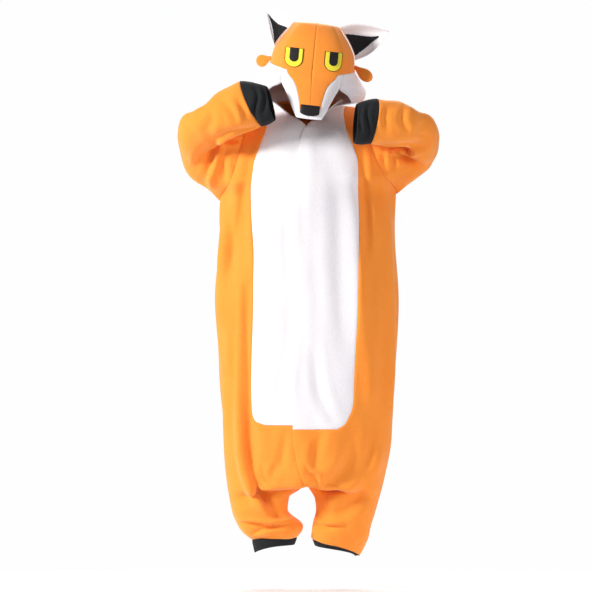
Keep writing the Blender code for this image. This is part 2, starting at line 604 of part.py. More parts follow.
def slab(front, back):
    """A closed slab between two grids of points of the same size."""
    rows, columns = front.shape[:2]
    count = rows * columns
    index = np.arange(count).reshape(rows, columns)
    quads = np.stack([index[:-1, :-1], index[:-1, 1:], index[1:, 1:], index[1:, :-1]], axis=-1).reshape(-1, 4)
    rim = np.concatenate([index[0, :-1], index[:-1, -1], index[-1, :0:-1], index[:0:-1, 0]])
    ahead = np.roll(rim, -1)
    sides = np.stack([ahead, rim, rim + count, ahead + count], axis=-1)
    faces = np.concatenate([quads, quads[:, ::-1] + count, sides])
    return outward(np.concatenate([front.reshape(-1, 3), back.reshape(-1, 3)]), faces)


def outward(points, faces):
    """The same closed body with its faces turned to point out."""
    corners = points[faces]
    size = np.einsum("ij,ij->i", corners[:, 0], np.cross(corners[:, 1], corners[:, 2])).sum()
    size += np.einsum("ij,ij->i", corners[:, 0], np.cross(corners[:, 2], corners[:, 3])).sum()
    return points, (faces if size > 0 else faces[:, ::-1]).tolist()


def felt(middle_x, top, half, length, lift, thickness, foot=1.0):
    """A felt on the face: flat top, straight sides, and a round foot that starts half way down."""
    down = np.linspace(0, 1, 7)[:, None]
    round_part = np.clip((down * length - (length - half * foot)) / (half * foot), 0, 0.97)
    wide = half * np.sqrt(1 - round_part ** 2)
    x = middle_x + wide * np.linspace(-1, 1, 5)[None, :]
    h = top - down * length + 0 * x
    return slab(
        roll_head(face_points(x, h, np.full(x.shape, lift + thickness))),
        roll_head(face_points(x, h, np.full(x.shape, lift))),
    )


def hood_cloud():
    """Points all over the hood's left half, and the normal at each, for what is sewn on to it."""
    row, t = np.meshgrid(
        np.linspace(1.5, 9.8, CLOUD_STEPS), np.linspace(0.01, 0.98, CLOUD_STEPS), indexing="ij"
    )
    clouds, normals = [], []
    for surface in (face_surface, side_surface):
        here = surface(row, t)
        out = np.cross(surface(row, t + 1e-3) - here, surface(row + 1e-3, t) - here)
        clouds.append(here.reshape(-1, 3))
        normals.append((out / np.linalg.norm(out, axis=-1, keepdims=True)).reshape(-1, 3))
    return np.concatenate(clouds), np.concatenate(normals)


def on_hood(points, clearance, cloud):
    """Each point moved to the nearest place on the hood and out by the clearance."""
    place, out = cloud
    mirrored = points * np.where(points[:, :1] < 0, (-1, 1, 1), (1, 1, 1))
    nearest = ((mirrored[:, None, :] - place[None]) ** 2).sum(axis=2).argmin(axis=1)
    found = place[nearest] + out[nearest] * clearance
    return found * np.where(points[:, :1] < 0, (-1, 1, 1), (1, 1, 1))


def ear_surface(side, along, across, cloud):
    """A cupped leaf: from a root curve on the hood (along = 0) to a rounded tip (along = 1)."""
    root, tip, half, swells = (np.array(v) for v in EARS[side])
    facing = np.cross(tip - root, half)
    facing /= np.linalg.norm(facing)
    facing *= 1 if facing[1] > 0 else -1
    length, width = along[..., None], across[..., None]
    rough = root + width * half + facing * EAR_CUP * (1 - width ** 2)
    clearance = CLOTH / 2 + EAR_CLOTH / 2 + 2 * SEAM_GAP
    held = on_hood(rough.reshape(-1, 3), clearance, cloud).reshape(rough.shape)
    leaf = tip + (held - tip) * (1 - length) ** EAR_TAPER
    edge_swell = np.where(width > 0, swells[0], swells[1])
    swell = half / np.linalg.norm(half) * edge_swell * width * np.sin(math.pi * length)
    cup = facing * EAR_CUP * 0.45 * (1 - width ** 2) * np.sin(math.pi * length)
    return leaf + swell + cup, -facing


def ear_shell_shares():
    """(along, across) over the whole of an ear."""
    return np.meshgrid(np.linspace(0, 0.97, 7), np.linspace(-1, 1, 7), indexing="ij")


def ear_lining_shares(side):
    """(along, across) over an ear's triangular lining, narrowing evenly to its point."""
    place = EAR_LINING[side]
    step, share = np.meshgrid(np.linspace(0, 1, 5), np.linspace(0, 1, 5), indexing="ij")
    across = place["low"] + (place["high"] - place["low"]) * share
    across = across + (place["point"] - across) * step * (1 - LINING_POINT)
    return place["near"] + (place["far"] - place["near"]) * step, across


def ear_piece(side, along, across, forward, cloud):
    """A slab of cloth on the ear's surface, its middle set forward of it."""
    grid, facing = ear_surface(side, along, across, cloud)
    front = roll_head(grid + facing * (forward + EAR_CLOTH / 2))
    back = roll_head(grid + facing * (forward - EAR_CLOTH / 2))
    return slab(front, back)


def tuft(side, cloud):
    """A drop of padded fleece: narrow at its root, full near its tip, flattened."""
    root, tip = (np.array(v) for v in TUFTS[side])
    root = on_hood(root[None], CLOTH / 2 + TUFT_CLEARANCE, cloud)[0]
    along = (tip - root) / np.linalg.norm(tip - root)
    across = np.cross(along, (0.0, 1.0, 0.0))
    across /= np.linalg.norm(across)
    thick = np.cross(along, across)
    share = np.linspace(0, 1, 7)
    neck = TUFT_NECK + (1 - TUFT_NECK) * ramp(share / TUFT_FULL_AT)
    tip_arc = np.sqrt(np.clip(1 - ((share - TUFT_FULL_AT) / TUFT_ROUND) ** 2, 0, 1))
    full = np.where(share < TUFT_FULL_AT, neck, tip_arc)[:, None, None]
    turn = np.linspace(0, 2 * math.pi, 9)[:-1]
    rings = (
        root + (tip - root) * share[:, None, None]
        + across * TUFT_HIGH * full * np.cos(turn)[None, :, None]
        + thick * TUFT_THICK * full * np.sin(turn)[None, :, None]
    )
    points = roll_head(rings.reshape(-1, 3))
    count = len(turn)
    index = np.arange(len(points)).reshape(len(share), count)
    ahead = np.roll(index, -1, axis=1)
    sides = np.stack([index[:-1], ahead[:-1], ahead[1:], index[1:]], axis=-1).reshape(-1, 4)
    points, faces = outward(points, sides)
    caps = [list(index[0]), list(index[-1])]
    turned = faces[0][0] == sides[0][0]
    caps[0 if turned else 1].reverse()
    return points, faces + caps


def make_trims(finishes):
    """The pieces sewn on to the hood: eyes, nose, ears and tufts."""
    cloud = hood_cloud()
    for side, sign in SIDES.items():
        lift = CLOTH / 2 + FACE_CLEARANCE
        for name, (half, length, finish) in EYE_FELTS.items():
            top = EYE_TOP - (0.0014 if name != "eye_rim" else 0.0)
            points, faces = felt(sign * EYE_X, top, half, length, lift, FELT)
            new_object(f"{side}_{name}", points, faces, finishes[finish])
            lift += FELT + SEAM_GAP
        shell = ear_piece(side, *ear_shell_shares(), 0.0, cloud)
        lining = ear_piece(side, *ear_lining_shares(side), EAR_CLOTH + LINING_CLEARANCE, cloud)
        new_object(side + "_ear_shell", *shell, finishes["white"])
        new_object(side + "_ear_lining", *lining, finishes["black"])
        new_object(side + "_tuft", *tuft(side, cloud), finishes["orange"])
    nose = felt(0.0, NOSE_TOP, NOSE_HALF, NOSE_LENGTH, CLOTH / 2 + FACE_CLEARANCE, NOSE_THICK, foot=0.35)
    new_object("nose", *nose, finishes["nose"])


def clear_scene():
    for obj in list(bpy.data.objects):
        bpy.data.objects.remove(obj, do_unlink=True)


def finish_of_piece(name):
    if "cuff" in name:
        return "black"
    return "white" if "belly" in name or "cheek" in name else "orange"


def main():
    clear_scene()
    finishes = {name: make_finish(name) for name in COLOURS}
    skin = Skin()
    sew_body(skin)
    skin.sew()
    for name in skin.pieces:
        twisted = name.endswith("sleeve") or name.endswith("cheek")
        points, faces = skin.wall(name, TWIST_GAP if twisted else SEAM_GAP)
        new_object(name, points, faces, finishes[finish_of_piece(name)])
    make_trims(finishes)


main()
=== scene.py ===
"""Looks of the fox onesie: fleece skin with creases, hood, cuffs, ears and felts.

The garment is laid out as one sewn skin, like the CAD: grids of points for the fronts, backs,
sleeves and hood that share their seam points. Creases push the skin in and out along its normals.
Each cut piece is then given its wall, rounded down into its seams. Tables give metres above the
floor; the frame's origin is at shoulder height, HOLD_HEIGHT above the floor.
"""

import math

import bpy
import numpy as np
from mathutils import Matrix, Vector


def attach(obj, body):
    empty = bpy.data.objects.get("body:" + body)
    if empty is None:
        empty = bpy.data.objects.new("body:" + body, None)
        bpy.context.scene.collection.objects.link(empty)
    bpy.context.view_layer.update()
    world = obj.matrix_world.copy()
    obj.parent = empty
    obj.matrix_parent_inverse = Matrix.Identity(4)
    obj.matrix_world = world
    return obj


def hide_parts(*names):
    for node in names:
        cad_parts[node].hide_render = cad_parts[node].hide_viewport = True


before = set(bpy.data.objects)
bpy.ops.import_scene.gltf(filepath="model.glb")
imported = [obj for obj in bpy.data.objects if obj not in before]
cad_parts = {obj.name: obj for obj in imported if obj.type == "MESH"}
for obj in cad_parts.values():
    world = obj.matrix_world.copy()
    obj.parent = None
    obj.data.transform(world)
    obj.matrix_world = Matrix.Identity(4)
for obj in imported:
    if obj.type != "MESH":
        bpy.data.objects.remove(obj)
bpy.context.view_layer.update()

HOLD_HEIGHT = 1.300
CLOTH = 0.0026
SEAM_GAP, SEAM_SINK, HOOD_SINK = 0.0002, 0.0008, 0.0002
PLACKET_LIFT = CLOTH + 0.0010
PLACKET_RAMP = 0.040        # how soon the left front rises on to the right one
HEAD_ROLL = math.radians(6.5)
HEAD_PIVOT = (0.004, 1.366)
MUZZLE_TURN, MUZZLE_FROM = 0.085, 0.120    # how far the muzzle bends to the wearer's left, and from where
SIDES = {"right": -1, "left": 1}

# Grid cells: rows between named sections, and columns of each panel.
ROW_CELLS = ((0, 2, 20), (2, 5, 52), (5, 9, 150), (9, 11.6, 34), (11.6, 13, 22), (13, 17, 52))
BELLY_COLUMNS, OUTER_COLUMNS, NECK_COLUMNS = 36, 30, 24
STRIP_COLUMNS = 10
SLEEVE_RINGS, WRIST_RINGS, ANKLE_RINGS = 104, 14, 10
HOOD_CELLS, BRIDGE_COLUMNS, FACE_COLUMNS, WHITE_SIDE_COLUMNS = 12, 16, 32, 30
V_ROW, ARMPIT_ROW, BELLY_ROW, LAP_ROW, CROTCH_ROW = 2, 5, 9, 11.6, 13

SIDE_EDGE = {
    "right_x":     (0.165, 0.171, 0.179, 0.192, 0.214, 0.243, 0.247, 0.258, 0.247, 0.236,
                    0.231, 0.225, 0.219, 0.213, 0.207, 0.197, 0.182, 0.154),
    "left_x":      (0.165, 0.171, 0.180, 0.195, 0.222, 0.258, 0.258, 0.266, 0.260, 0.244,
                    0.234, 0.223, 0.214, 0.205, 0.196, 0.183, 0.175, 0.148),
    "front_y":     (0.010, -0.035, -0.072, -0.090, -0.078, 0.0, 0.0, 0.0, 0.0, 0.0,
                    0.0, 0.0, 0.0, 0.0, 0.0, 0.0, 0.0, 0.0),
    "back_y":      (0.010, 0.052, 0.086, 0.100, 0.086, 0.0, 0.0, 0.0, 0.0, 0.0,
                    0.0, 0.0, 0.0, 0.0, 0.0, 0.0, 0.0, 0.0),
    "right_h":     (1.368, 1.343, 1.300, 1.235, 1.165, 1.108, 1.000, 0.830, 0.660, 0.470,
                    0.390, 0.325, 0.280, 0.245, 0.215, 0.188, 0.162, 0.138),
    "left_h":      (1.368, 1.343, 1.300, 1.240, 1.180, 1.128, 1.000, 0.830, 0.660, 0.470,
                    0.390, 0.325, 0.280, 0.245, 0.215, 0.180, 0.142, 0.096),
}
FRONT_EDGE = {
    "right_x":     (0.085, 0.048, 0.0, 0.0, 0.0, 0.0, 0.0, 0.0, 0.0, 0.0,
                    0.0, 0.0, 0.0, 0.0, 0.046, 0.049, 0.012, 0.026),
    "left_x":      (0.085, 0.048, 0.0, 0.0, 0.0, 0.0, 0.0, 0.0, 0.0, 0.0,
                    0.0, 0.0, 0.0, 0.0, 0.027, 0.031, 0.021, 0.018),
    "y":           (0.0, -0.070, -0.112, -0.128, -0.142, -0.150, -0.150, -0.148, -0.146, -0.143,
                    -0.140, -0.134, -0.112, 0.0, 0.0, 0.0, 0.0, 0.0),
    "h":           (1.386, 1.354, 1.317, 1.255, 1.180, 1.105, 1.000, 0.830, 0.660, 0.467,
                    0.390, 0.330, 0.290, 0.302, 0.262, 0.228, 0.178, 0.146),
}
BACK_EDGE = {
    "y":           (0.088, 0.104, 0.118, 0.128, 0.132, 0.132, 0.128, 0.136, 0.136, 0.126,
                    0.118, 0.104, 0.060, 0.0, 0.0, 0.0, 0.0, 0.0),
    "h":           (1.398, 1.365, 1.320, 1.255, 1.180, 1.105, 1.000, 0.850, 0.680, 0.500,
                    0.410, 0.350, 0.318, 0.302, 0.262, 0.228, 0.178, 0.146),
}
FULLNESS = {
    "centre_reach": (0.33, 0.40, 0.50, 0.50, 0.55, 0.60, 0.62, 0.62, 0.62, 0.60,
                     0.58, 0.50, 0.36, 0.10, 0.0, 0.0, 0.0, 0.0),
    "centre_pull":  (0.0, 0.005, 0.0, 0.0, 0.0, 0.0, 0.0, 0.0, 0.0, 0.0,
                     0.0, 0.005, 0.020, 0.085, 0.105, 0.098, 0.090, 0.066),
    "side_reach":   (0.33, 0.28, 0.25, 0.22, 0.18, 0.12, 0.03, 0.0, 0.0, 0.0,
                     0.0, 0.0, 0.0, 0.0, 0.0, 0.0, 0.0, 0.0),
    "side_pull":    (0.0, 0.012, 0.022, 0.030, 0.040, 0.060, 0.092, 0.100, 0.098, 0.095,
                     0.092, 0.088, 0.088, 0.095, 0.105, 0.098, 0.090, 0.066),
}
BELLY_EDGE = {
    "h":       (0.467, 0.480, 0.505, 0.545, 0.650, 0.800, 0.950, 1.130, 1.220, 1.270, 1.330, 1.390),
    "right_x": (0.118, 0.145, 0.158, 0.160, 0.157, 0.152, 0.149, 0.160, 0.152, 0.134, 0.112, 0.104),
    "left_x":  (0.088, 0.108, 0.122, 0.135, 0.139, 0.147, 0.149, 0.152, 0.150, 0.136, 0.112, 0.104),
}
LAP_EDGE = {
    "h":     (0.292, 0.338, 0.401, 0.464, 0.940, 1.228, 1.299, 1.317),
    "right": (0.003, 0.021, 0.035, 0.038, 0.038, 0.024, 0.014, 0.004),
}
RIGHT_SLEEVE = (
    # centre x,  y,      h       up x,    y,     h       front x, y,      h
    (-0.205, 0.004, 1.238, 0.038, 0.004, 0.132, 0.004, -0.095, 0.0),
    (-0.250, -0.008, 1.250, 0.040, 0.000, 0.105, 0.037, -0.082, 0.0),
    (-0.297, -0.030, 1.268, 0.028, 0.000, 0.080, 0.040, -0.046, 0.0),
    (-0.321, -0.085, 1.292, 0.000, 0.000, 0.062, 0.046, -0.006, 0.0),
    (-0.281, -0.142, 1.318, -0.028, 0.000, 0.048, 0.034, 0.030, 0.0),
    (-0.222, -0.168, 1.352, -0.030, 0.000, 0.060, 0.020, 0.050, 0.0),
    (-0.157, -0.180, 1.383, -0.028, 0.000, 0.064, 0.012, 0.048, 0.0),
)
LEFT_SLEEVE = (
    (0.208, 0.004, 1.245, -0.042, 0.004, 0.128, -0.004, -0.095, 0.0),
    (0.262, -0.008, 1.255, -0.030, 0.000, 0.100, -0.037, -0.082, 0.0),
    (0.317, -0.030, 1.272, -0.022, 0.000, 0.075, -0.040, -0.046, 0.0),
    (0.334, -0.085, 1.288, 0.000, 0.000, 0.055, -0.046, -0.006, 0.0),
    (0.306, -0.142, 1.312, 0.015, 0.000, 0.048, -0.034, 0.030, 0.0),
    (0.245, -0.170, 1.325, 0.015, 0.000, 0.062, -0.020, 0.050, 0.0),
    (0.192, -0.182, 1.334, 0.011, 0.000, 0.063, -0.012, 0.048, 0.0),
)
WRIST_CUFF_END = {
    "right": (-0.100, -0.190, 1.384, -0.012, 0.000, 0.048, 0.006, 0.044, 0.0),
    "left": (0.140, -0.192, 1.326, 0.004, 0.000, 0.056, -0.006, 0.046, 0.0),
}
CUFF_PUFF = 0.05
ANKLE_CUFF_DROP = {"right": (0.021, 0.036, 3.0), "left": (0.022, 0.004, 0.6)}   # inseam, side, how it changes
ANKLE_TAKE_IN = 0.12
HOOD_FACE = {
    "front_y": (-0.205, -0.203, -0.190, -0.170, -0.156, -0.147, -0.134, -0.122, -0.104, -0.080, -0.048),
    "front_h": (1.339, 1.368, 1.396, 1.427, 1.452, 1.466, 1.525, 1.566, 1.594, 1.612, 1.617),
    "edge_x":  (0.036, 0.047, 0.060, 0.072, 0.083, 0.090, 0.092, 0.078, 0.062, 0.046, 0.0),
    "edge_y":  (-0.200, -0.186, -0.166, -0.146, -0.128, -0.118, -0.106, -0.096, -0.082, -0.062, -0.034),
    "edge_h":  (1.341, 1.362, 1.391, 1.416, 1.438, 1.479, 1.520, 1.562, 1.592, 1.612, 1.617),
}
HOOD_SIDE = {
    "edge_x":  (0.048, 0.082, 0.122, 0.108, 0.083, 0.090, 0.092, 0.078, 0.062, 0.046, 0.0),
    "edge_y":  (-0.070, -0.108, -0.114, -0.125, -0.128, -0.118, -0.106, -0.096, -0.082, -0.062, -0.034),
    "edge_h":  (1.356, 1.378, 1.400, 1.420, 1.438, 1.479, 1.520, 1.562, 1.592, 1.612, 1.617),
    "out_x":   (0.110, 0.125, 0.206, 0.222, 0.204, 0.152, 0.138, 0.114, 0.091, 0.078, 0.0),
    "out_y":   (-0.050, -0.070, -0.075, -0.070, -0.085, -0.045, -0.030, -0.025, -0.020, -0.020, 0.0),
    "back_x":  (0.090, 0.100, 0.115, 0.122, 0.124, 0.122, 0.118, 0.100, 0.079, 0.060, 0.0),
    "back_y":  (0.088, 0.104, 0.116, 0.124, 0.127, 0.127, 0.122, 0.112, 0.096, 0.074, 0.045),
    "back_h":  (1.400, 1.430, 1.452, 1.478, 1.500, 1.520, 1.550, 1.578, 1.598, 1.612, 1.617),
}
HOOD_ROWS, LIP_ROW, CHEEK_ROW = 10, 1, 5
# Where the bridge's edge runs between the centre front and the face's edge, row by row.
BRIDGE_SHARE = (0.44, 0.40, 0.36, 0.37, 0.43, 0.60, 0.53, 0.50, 0.50, 0.50, 0.50)

EYE_X, EYE_TOP = 0.0555, 1.538
EYE_FELTS = {
    # name:      half width, length, finish
    "eye_rim": (0.0255, 0.0560, "brown_felt"),
    "eye_yellow": (0.0230, 0.0535, "yellow_felt"),
    "pupil": (0.0120, 0.0390, "black_felt"),
}
FELT, FACE_CLEARANCE = 0.0013, 0.0005
EYE_INSET = 0.0014          # how far the inner felts start below the rim
NOSE_HALF, NOSE_TOP, NOSE_LENGTH, NOSE_THICK = 0.0270, 1.3780, 0.030, 0.0050
EARS = {
    "left": ((0.086, -0.036, 1.564), (0.209, -0.022, 1.618), (-0.0270, 0.000, 0.0420), (0.016, 0.014)),
    "right": ((-0.089, -0.028, 1.576), (-0.149, 0.044, 1.640), (0.0270, -0.008, 0.0360), (0.021, 0.003)),
}
EAR_CUP, EAR_CLOTH, EAR_TAPER, EAR_SEAT = 0.024, 0.0040, 0.85, 0.0004
# Each lining is a triangle on its ear: where it starts and ends along the ear, its lower and upper
# corner across the root, and where across the ear its point lies.
EAR_LINING = {
    "left": {"near": 0.02, "far": 0.76, "low": -0.74, "high": 0.56, "point": -0.20},
    "right": {"near": 0.02, "far": 0.90, "low": -0.86, "high": 0.34, "point": -0.42},
}
LINING_CLOTH, LINING_LIFT, LINING_POINT = 0.0016, 0.0014, 0.12
TUFTS = {
    "left": ((0.118, -0.036, 1.506), (0.172, -0.082, 1.472)),
    "right": ((-0.119, -0.030, 1.504), (-0.160, -0.008, 1.486)),
}
TUFT_HIGH, TUFT_THICK, TUFT_CLEARANCE = 0.0175, 0.0060, 0.0008
TUFT_FULL_AT, TUFT_NECK, TUFT_ROUND = 0.62, 0.30, 0.382

# Creases, each a path of (across, height) with its depth and half width in metres. Across is x
# seen from the front or the back, or y seen from a side. "lean" drops one flank steeply: positive
# leaves a lip on the path's left, going from its first point to its last.
CREASES = (
    # seen from, depth, half width, lean, path
    # Front: the deep fold down the right side, the crotch sack and the knees.
    ("front", 0.019, 0.014, -1,
     ((-0.172, 0.860), (-0.173, 0.640), (-0.170, 0.452),
      (-0.160, 0.352), (-0.131, 0.272), (-0.088, 0.223))),
    ("front", 0.009, 0.026, 0,
     ((-0.196, 1.080), (-0.186, 0.960), (-0.196, 0.820), (-0.186, 0.600), (-0.182, 0.430))),
    ("front", 0.010, 0.018, -1,
     ((-0.158, 1.250), (-0.176, 1.160), (-0.196, 1.060), (-0.214, 0.960), (-0.226, 0.900))),
    ("front", 0.008, 0.014, 0, ((-0.214, 1.150), (-0.224, 1.060), (-0.216, 0.960), (-0.222, 0.880))),
    ("front", 0.007, 0.020, 0,
     ((0.176, 1.190), (0.186, 1.060), (0.192, 0.900), (0.188, 0.760), (0.196, 0.600))),
    ("front", 0.008, 0.013, 1, ((0.162, 1.250), (0.166, 1.150), (0.176, 1.040), (0.170, 0.920))),
    ("front", 0.008, 0.018, 0,
     ((0.226, 1.100), (0.220, 0.960), (0.230, 0.800), (0.224, 0.640), (0.214, 0.500))),
    ("front", 0.012, 0.022, 1,
     ((0.196, 0.520), (0.188, 0.420), (0.150, 0.340), (0.094, 0.288), (0.040, 0.270))),
    ("front", 0.010, 0.018, 0, ((0.128, 0.400), (0.112, 0.345), (0.074, 0.306), (0.038, 0.286))),
    ("front", -0.006, 0.018, 0, ((0.172, 0.480), (0.156, 0.390), (0.118, 0.320), (0.070, 0.262))),
    ("front", 0.010, 0.017, 0, ((0.190, 0.400), (0.172, 0.310), (0.130, 0.246), (0.084, 0.208))),
    ("front", 0.010, 0.010, -1, ((-0.128, 0.362), (-0.124, 0.330), (-0.112, 0.304), (-0.082, 0.292))),
    ("front", 0.006, 0.011, 0, ((-0.086, 0.360), (-0.094, 0.330), (-0.102, 0.306))),
    ("front", 0.009, 0.008, 1, ((-0.002, 0.352), (0.012, 0.332), (0.030, 0.318), (0.034, 0.290))),
    ("front", 0.006, 0.013, 0, ((0.046, 0.450), (0.028, 0.390), (0.020, 0.335))),
    ("front", 0.005, 0.012, 0, ((-0.058, 0.450), (-0.066, 0.390), (-0.074, 0.330))),
    ("front", 0.008, 0.014, -1, ((-0.152, 0.330), (-0.128, 0.268), (-0.090, 0.214), (-0.060, 0.200))),
    # Front: the hems bloused over the ankle cuffs.
    ("front", 0.010, 0.006, 1,
     ((-0.186, 0.190), (-0.150, 0.188), (-0.108, 0.181), (-0.070, 0.184), (-0.034, 0.188))),
    ("front", 0.008, 0.006, -1, ((-0.150, 0.158), (-0.118, 0.168), (-0.082, 0.176))),
    ("front", 0.010, 0.006, 1, ((0.016, 0.190), (0.048, 0.182), (0.076, 0.179), (0.112, 0.182))),
    # Front: long soft drapes of the belly.
    ("front", 0.0045, 0.024, 0, ((0.096, 1.200), (0.094, 0.980), (0.098, 0.780), (0.104, 0.640))),
    ("front", 0.0040, 0.016, 0, ((-0.048, 0.820), (-0.056, 0.680), (-0.076, 0.560), (-0.092, 0.478))),
    ("front", 0.0040, 0.015, 0, ((0.022, 0.680), (0.034, 0.580), (0.066, 0.500), (0.086, 0.470))),
    ("front", 0.0040, 0.018, 0, ((-0.104, 1.260), (-0.126, 1.160), (-0.124, 1.020), (-0.134, 0.900))),
    ("front", 0.0030, 0.014, 0, ((-0.052, 1.180), (-0.056, 1.040), (-0.050, 0.880))),
    # Back and sides: the same kinds of fold, plainly.
    ("back", 0.007, 0.018, 0, ((0.060, 1.060), (0.074, 0.900), (0.066, 0.720), (0.080, 0.560))),
    ("back", 0.007, 0.020, 0, ((-0.090, 1.100), (-0.084, 0.940), (-0.098, 0.760), (-0.092, 0.600))),
    ("back", 0.010, 0.014, -1, ((0.190, 1.170), (0.168, 1.060), (0.172, 0.900), (0.184, 0.700))),
    ("back", 0.010, 0.014, 1, ((-0.186, 1.160), (-0.170, 1.040), (-0.180, 0.860), (-0.174, 0.640))),
    ("back", 0.011, 0.013, 1, ((0.178, 0.490), (0.160, 0.390), (0.116, 0.310), (0.066, 0.256))),
    ("back", 0.011, 0.013, -1, ((-0.174, 0.500), (-0.158, 0.380), (-0.118, 0.300), (-0.076, 0.244))),
    ("back", 0.006, 0.016, 0, ((0.034, 0.490), (0.024, 0.410), (0.014, 0.350))),
    ("back", 0.006, 0.016, 0, ((-0.050, 0.500), (-0.036, 0.420), (-0.026, 0.356))),
    ("back", 0.006, 0.020, 0, ((-0.120, 1.270), (-0.060, 1.235), (0.020, 1.225), (0.090, 1.250))),
    ("back", 0.009, 0.007, 1, ((-0.184, 0.192), (-0.130, 0.184), (-0.050, 0.188))),
    ("back", 0.009, 0.007, 1, ((0.046, 0.186), (0.100, 0.178), (0.164, 0.184))),
    ("left", 0.007, 0.018, 0, ((-0.020, 1.040), (-0.030, 0.880), (-0.012, 0.700), (-0.026, 0.540))),
    ("right", 0.007, 0.018, 0, ((-0.014, 1.020), (-0.028, 0.860), (-0.016, 0.680), (-0.030, 0.520))),
)
SLEEVE_CREASES = (
    # cloth, seen from, depth, half width, lean, path
    # The right arm: a deep fold into the elbow, the sag below it and small ones at the shoulder.
    ("right_sleeve", "front", 0.012, 0.009, 1,
     ((-0.130, 1.315), (-0.175, 1.303), (-0.222, 1.294), (-0.250, 1.284))),
    ("right_sleeve", "front", 0.008, 0.008, -1, ((-0.250, 1.286), (-0.226, 1.277), (-0.190, 1.279))),
    ("right_sleeve", "front", 0.012, 0.011, 1,
     ((-0.252, 1.284), (-0.266, 1.232), (-0.288, 1.170), (-0.286, 1.150))),
    ("right_sleeve", "front", 0.007, 0.010, 0, ((-0.286, 1.262), (-0.306, 1.232), (-0.312, 1.204))),
    ("right_sleeve", "front", 0.006, 0.009, 0, ((-0.232, 1.386), (-0.208, 1.352), (-0.196, 1.326))),
    ("right_sleeve", "front", 0.006, 0.008, 0, ((-0.196, 1.396), (-0.180, 1.366), (-0.172, 1.336))),
    ("right_sleeve", "front", 0.006, 0.012, 0, ((-0.276, 1.372), (-0.270, 1.336), (-0.284, 1.306))),
    ("right_sleeve", "front", 0.007, 0.010, 0, ((-0.226, 1.262), (-0.236, 1.214), (-0.232, 1.166))),
    # The left arm: folds fanning out from the elbow's inside.
    ("left_sleeve", "front", 0.012, 0.009, -1,
     ((0.206, 1.266), (0.242, 1.254), (0.285, 1.259), (0.314, 1.262), (0.342, 1.261))),
    ("left_sleeve", "front", 0.016, 0.010, 1, ((0.254, 1.252), (0.294, 1.232), (0.334, 1.212))),
    ("left_sleeve", "front", 0.010, 0.009, 0, ((0.242, 1.254), (0.248, 1.226), (0.252, 1.196))),
    ("left_sleeve", "front", 0.007, 0.009, 0, ((0.226, 1.258), (0.222, 1.226), (0.228, 1.196))),
    ("left_sleeve", "front", 0.007, 0.009, 0, ((0.280, 1.372), (0.272, 1.338), (0.288, 1.304))),
    ("left_sleeve", "front", 0.006, 0.009, 0, ((0.232, 1.372), (0.224, 1.342), (0.230, 1.306))),
    ("left_sleeve", "front", 0.006, 0.010, 0, ((0.330, 1.332), (0.322, 1.300), (0.346, 1.284))),
    # Behind, as on the front but plainer.
    ("right_sleeve", "back", 0.008, 0.011, 0, ((-0.236, 1.330), (-0.262, 1.280), (-0.268, 1.210))),
    ("right_sleeve", "back", 0.008, 0.012, 0, ((-0.296, 1.330), (-0.300, 1.280), (-0.296, 1.210))),
    ("left_sleeve", "back", 0.008, 0.011, 0, ((0.246, 1.330), (0.262, 1.280), (0.266, 1.214))),
    ("left_sleeve", "back", 0.008, 0.012, 0, ((0.306, 1.330), (0.300, 1.280), (0.306, 1.214))),
    # The wrist cuffs, bunched.
    ("right_wrist_cuff", "front", 0.007, 0.006, 0,
     ((-0.150, 1.440), (-0.138, 1.404), (-0.146, 1.360), (-0.138, 1.330))),
    ("right_wrist_cuff", "front", 0.007, 0.006, 0, ((-0.124, 1.430), (-0.116, 1.396), (-0.122, 1.356))),
    ("left_wrist_cuff", "front", 0.007, 0.006, 0,
     ((0.180, 1.388), (0.172, 1.350), (0.178, 1.306), (0.170, 1.284))),
    ("left_wrist_cuff", "front", 0.007, 0.006, 0, ((0.158, 1.378), (0.152, 1.340), (0.158, 1.300))),
)


# The uneven hang between the creases: waves as radians a metre in x, y and up, bend, and depth.
DRAPES = (
    ((52.0, 38.0, 5.0), 0.9, 0.0024),
    ((-31.0, 47.0, 8.0), 1.3, 0.0020),
    ((88.0, -60.0, 14.0), 0.7, 0.0010),
)
DRAPE_WANDER, DRAPE_BEND = 4.1, 0.37    # how the bend of each wave drifts with height and along it
BELLY_DRAPE = 0.4           # the belly's share of the hang
LEFT_HANG, HANG_ROWS = 0.11, 0.8        # how far the left front hangs, and over how many rows
WELD = 2e-5                 # points closer than this are one
SEAM_ROLL, INNER_SINK = 0.0035, 0.6     # reach of the roll into a seam, and the inner face's share of it
ARMHOLE_FADE = 1.6          # how many table rings keep some of the armhole's outline
NECK_FADE, HOOD_FADE = 1.6, 1.5         # rows over which the neckline's own outline fades out
SHOULDER_SPLIT = 0.34       # the belly's share of the shoulder seam
SHOULDER_ROWS, LEG_SPLIT, LEG_ROWS = 0.8, 0.5, 3
LIP_REACH, LIP_WIDTH, LIP_HEIGHT = 2.0, 0.9, 0.28       # of an even crease, in half widths
STEEP, GENTLE = 0.65, 1.8   # flanks of a leaning crease, in half widths
HIGH_LIP_REACH, HIGH_LIP_HEIGHT = 1.3, 0.75


